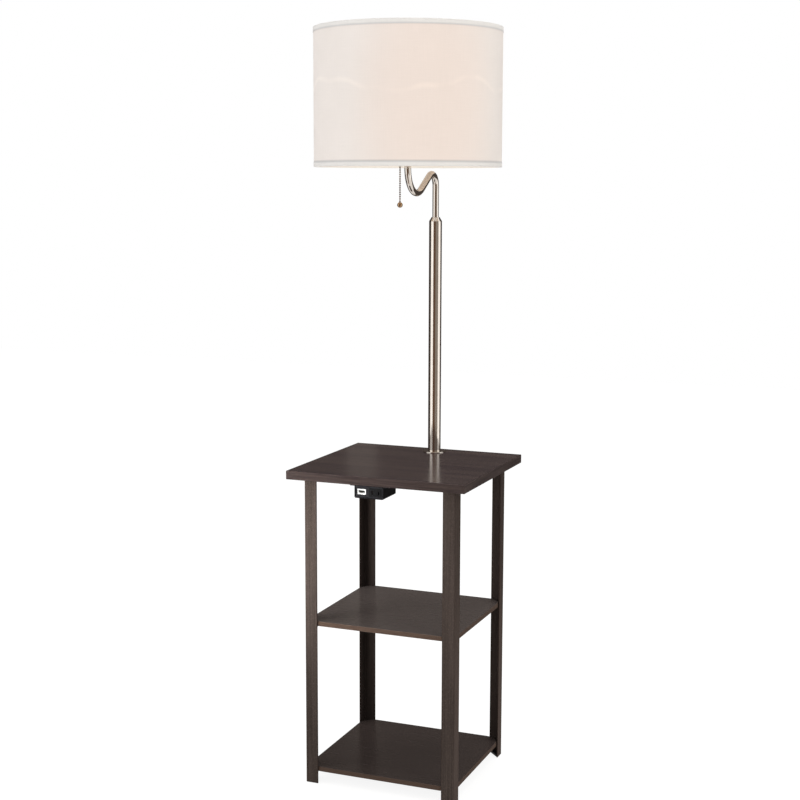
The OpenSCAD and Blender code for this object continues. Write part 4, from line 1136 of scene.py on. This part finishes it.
@dataclass
class PullChain:
    """Bead chain with a ball, and the link that works the switch."""

    axis: Point = (-2.712 * MM, -26.182 * MM, 0.0)
    first_bead: float = 1183.85 * MM
    bead_r: float = 1.6 * MM
    pitch: float = 4.1 * MM
    beads: int = 17
    link_r: float = 0.55 * MM
    ball_h: float = 1111.2 * MM
    ball_r: float = 5.2 * MM
    neck_r: float = 1.8 * MM
    neck_h: float = 0.2 * MM
    bore_r: float = 0.6 * MM
    bore_h: float = 2.05 * MM
    grip: float = 2 * MM
    arc_steps: int = 32

    def chain(self) -> bpy.types.Object:
        """Makes the beads on the short links that join them."""
        bm = bmesh.new()
        for i in range(self.beads):
            place = Vector(self.axis) + Vector((0, 0, self.first_bead - i * self.pitch))
            bmesh.ops.create_uvsphere(bm, u_segments=24, v_segments=14, radius=self.bead_r,
                                      matrix=Matrix.Translation(place))
        low = self.ball_h + self.ball_r - self.grip
        middle = Vector(self.axis) + Vector((0, 0, 0.5 * (low + self.first_bead)))
        bmesh.ops.create_cone(bm, cap_ends=True, segments=16, radius1=self.link_r, radius2=self.link_r,
                              depth=self.first_bead - low, matrix=Matrix.Translation(middle))
        bmesh.ops.recalc_face_normals(bm, faces=bm.faces)
        return keep_piece(bm, "pull_chain_beads", Body.CHAIN, CHAIN_NICKEL_PAINTED_BROWN, ("pull_chain",),
                          60)

    def ball(self) -> bpy.types.Object:
        """Turns the ball with its neck and the bore that grips the last link."""
        start = -0.5 * math.pi
        end = math.acos(self.neck_r / self.ball_r)
        arc = [start + (end - start) * i / self.arc_steps for i in range(self.arc_steps + 1)]
        outline = [(self.ball_r * math.cos(a), self.ball_r * math.sin(a)) for a in arc]
        outline[0] = (0.0, -self.ball_r)
        top = self.ball_r + self.neck_h
        outline += [(self.neck_r, top), (self.bore_r, top), (self.bore_r, self.ball_r - self.bore_h),
                    (0.0, self.ball_r - self.bore_h)]
        bm = turned(outline, (self.axis[0], self.axis[1], self.ball_h), 64)
        return keep_piece(bm, "chain_turned_ball", Body.CHAIN, BALL_NICKEL_PAINTED_BROWN, ("chain_ball",),
                          40)

    def build(self) -> None:
        """Makes the chain and its ball, and dresses the link that they hang from."""
        self.chain()
        self.ball()
        dress(CHAIN_NICKEL_PAINTED_BROWN, "switch_pull", "pull_chain")
        dress(BALL_NICKEL_PAINTED_BROWN, "chain_ball")
        log.info("pull chain dressed")


@dataclass
class PowerBox:
    """Black box with a USB port and an outlet under the front edge."""

    def build(self) -> None:
        """Dresses the box and what it holds."""
        dress(BLACK_PLASTIC, "power_box_housing", "usb_tongue", "cord_inlet_gland")
        dress(CHARCOAL_PLASTIC, "power_box_face")
        dress(OUTLET_PLASTIC_PAINTED_SHADE, "outlet_insert")
        dress(WHITE_PLASTIC, "usb_port")
        dress(BRASS, "outlet_contacts")
        dress(CIRCUIT, "charger_board")
        dress(ZINC_STEEL, "power_box_screws")
        log.info("power box dressed")


# ---- Studio ----


def straight_rays(tree: Tree) -> Socket:
    """Picks out the rays that see the background.

    Args:
        tree: Tree that gets the test.

    Returns:
        One for camera, mirror and glass rays, and zero for soft light.
    """
    rays = add_node(tree, "ShaderNodeLightPath").outputs
    first = add_node(tree, "ShaderNodeMath", {
        0: rays["Is Camera Ray"], 1: rays["Is Glossy Ray"]}, operation="MAXIMUM").outputs[0]
    return add_node(tree, "ShaderNodeMath", {
        0: first, 1: rays["Is Transmission Ray"]}, operation="MAXIMUM").outputs[0]


@dataclass(frozen=True)
class CardPaper(Finish):
    """Studio card with an even light of its own, which gives metal its bands."""

    colour: str
    glow: float

    def shade(self, tree: Tree) -> bpy.types.Node:
        """Builds the even light."""
        return add_node(tree, "ShaderNodeEmission", {"Color": to_linear(self.colour), "Strength": self.glow})


@dataclass(frozen=True)
class FloorPaper(Finish):
    """Matt white paper under the lamp, pale enough to fade into the background."""

    colour: str = "#f4f3f1"
    white: float = 1.15
    whiteness: float = 0.76

    def shade(self, tree: Tree) -> bpy.types.Node:
        """Builds matt paper that keeps the shadow and is nearly white to straight rays."""
        paper = add_node(tree, "ShaderNodeBsdfDiffuse", {"Color": to_linear(self.colour)})
        white = add_node(tree, "ShaderNodeEmission", {"Color": (1, 1, 1, 1), "Strength": self.white})
        share = add_node(tree, "ShaderNodeMath", {
            0: straight_rays(tree), 1: self.whiteness}, operation="MULTIPLY").outputs[0]
        return add_node(tree, "ShaderNodeMixShader", {0: share, 1: paper.outputs[0], 2: white.outputs[0]})


@dataclass
class Studio:
    """Pale floor, white surroundings, soft lamps, reflection cards and the camera."""

    eye: Point = (1.0590, -2.6347, 1.1488)
    azimuth: float = 22.127
    elevation: float = 8.186
    roll: float = 0.142
    lens: float = 67.39
    film_w: float = 36
    sight: float = 50  # distance in metres up to which the camera sees
    sky: float = 0.62  # strength of the surroundings as plain light
    floor_half: float = 6
    card_r: float = 3.2
    near_card_r: float = 1.2
    card_h: float = 6.5
    card_steps: int = 24
    aim: Point = (0.0, 0.0, 0.75)

    def floor(self) -> None:
        """Lays a pale floor that fades into the white and keeps the shadow."""
        bm = bmesh.new()
        bmesh.ops.create_grid(bm, x_segments=1, y_segments=1, size=self.floor_half)
        make_object(bm, "studio_floor", FloorPaper("paper_white_matt"))

    def surroundings(self) -> None:
        """Makes the world white to the eye and to gloss, and plain light to the rest."""
        world = bpy.data.worlds.new("studio_white")
        world.use_nodes = True
        tree = world.node_tree
        tree.nodes.clear()
        level = Finish.span(tree, straight_rays(tree), 0, 1, self.sky, 1)
        light = add_node(tree, "ShaderNodeBackground", {"Color": (1, 1, 1, 1), "Strength": level})
        add_node(tree, "ShaderNodeOutputWorld", {"Surface": light.outputs[0]})
        bpy.context.scene.world = world

    def card(self, name: str, colour: str, start: float, end: float, near: Pair, far: Pair,
             glow: float = 1.0) -> None:
        """Sets one curved card round the lamp that only gloss can see.

        Args:
            name: Name of the card.
            colour: Its colour.
            start: First azimuth in degrees, counted from behind the camera.
            end: Last azimuth.
            near: Distance from the middle of the lamp and height of one rim.
            far: The same of the other rim.
            glow: Strength of its light.
        """
        bm = bmesh.new()
        angle = math.radians(self.azimuth + start)
        points = [bm.verts.new((r * math.sin(angle), -r * math.cos(angle), h)) for r, h in (near, far)]
        edge = bm.edges.new(points)
        bmesh.ops.spin(bm, geom=points + [edge], cent=(0, 0, 0), axis=(0, 0, 1),
                       angle=math.radians(end - start), steps=self.card_steps)
        card = make_object(bm, name, CardPaper(f"{name}_card", colour, glow))
        card.visible_camera = card.visible_diffuse = card.visible_shadow = False
        card.visible_transmission = card.visible_volume_scatter = False

    def lamp(self, name: str, place: Point, size: float, power: float, colour: str, spread: float = 180,
             aim: Point | None = None) -> None:
        """Hangs one square softbox that points at the lamp.

        Args:
            name: Name of the softbox.
            place: Its middle.
            size: Its side in metres.
            power: Its power in watts.
            colour: Its colour.
            spread: Angle in degrees that its light fans out over.
            aim: Point that it faces, or the middle of the lamp if none is given.
        """
        light = bpy.data.lights.new(name, "AREA")
        light.spread = math.radians(spread)
        light.size, light.energy = size, power
        light.color = to_linear(colour)[:3]
        softbox = bpy.data.objects.new(name, light)
        softbox.location = place
        softbox.rotation_euler = (Vector(place) - Vector(aim or self.aim)).to_track_quat("Z", "Y").to_euler()
        softbox.visible_glossy = False
        bpy.context.scene.collection.objects.link(softbox)

    def camera(self) -> None:
        """Sets the camera where the photograph was taken from."""
        data = bpy.data.cameras.new("photo_camera")
        data.lens, data.sensor_width, data.clip_end = self.lens, self.film_w, self.sight
        eye = bpy.data.objects.new("photo_camera", data)
        eye.matrix_world = (Matrix.Translation(self.eye)
                            @ Matrix.Rotation(math.radians(self.azimuth), 4, "Z")
                            @ Matrix.Rotation(math.radians(90 - self.elevation), 4, "X")
                            @ Matrix.Rotation(math.radians(self.roll), 4, "Z"))
        bpy.context.scene.collection.objects.link(eye)
        bpy.context.scene.camera = eye

    def build(self) -> None:
        """Sets the whole studio up."""
        self.floor()
        self.surroundings()
        far = (self.card_r, 0.0), (self.card_r, self.card_h)
        near = (self.near_card_r, 0.0), (self.near_card_r, self.card_h)
        self.card("brown_behind_camera", "#6e5646", -38, 5, *far)
        self.card("brown_before_lamp", "#6e5646", -38, 5, (0.45, 0.004), (self.card_r, 0.004))
        self.card("taupe_behind_camera", "#9c948c", 5, 58, *far)
        self.card("white_left", "#ffffff", -86, -38, *far, 1.5)
        self.card("white_right", "#ffffff", 58, 102, *far, 1.5)
        self.card("dark_behind_lamp", "#514a46", 106, 183.6, *near)
        self.card("pale_streak", "#6f6862", 183.6, 187.5, *near)
        self.card("dark_behind_lamp_left", "#4d4743", 187.5, 270, *near)
        self.lamp("front", (0.9, -3.0, 1.3), 2.2, 22, "#ffffff")
        self.lamp("side_left", (-2.4, -1.4, 2.0), 1.8, 19, "#fdfcff")
        self.lamp("near_left", (-0.45, -0.55, 0.43), 0.25, 0.9, "#ffffff", 60, (-0.15, -0.13, 0.47))
        self.lamp("side_right", (2.6, -0.6, 2.1), 1.8, 17, "#fff9f3")
        self.lamp("back", (-0.6, 3.0, 1.9), 1.8, 9, "#ffffff")
        self.lamp("top", (0.0, 0.3, 3.0), 2.0, 20, "#ffffff")
        self.camera()
        view = bpy.context.scene.view_settings
        view.view_transform = "Standard"
        log.info("studio ready")


def main() -> None:
    """Builds the studio and every sub-assembly in order."""
    logging.basicConfig(level=logging.INFO, format="%(levelname)s: %(message)s")
    for kind in (Studio, SideTable, Pole, SwivelArm, LampHead, DrumShade, PullChain, PowerBox):
        log.info("building %s", kind.__name__)
        kind().build()


if __name__ == "__main__":
    main()
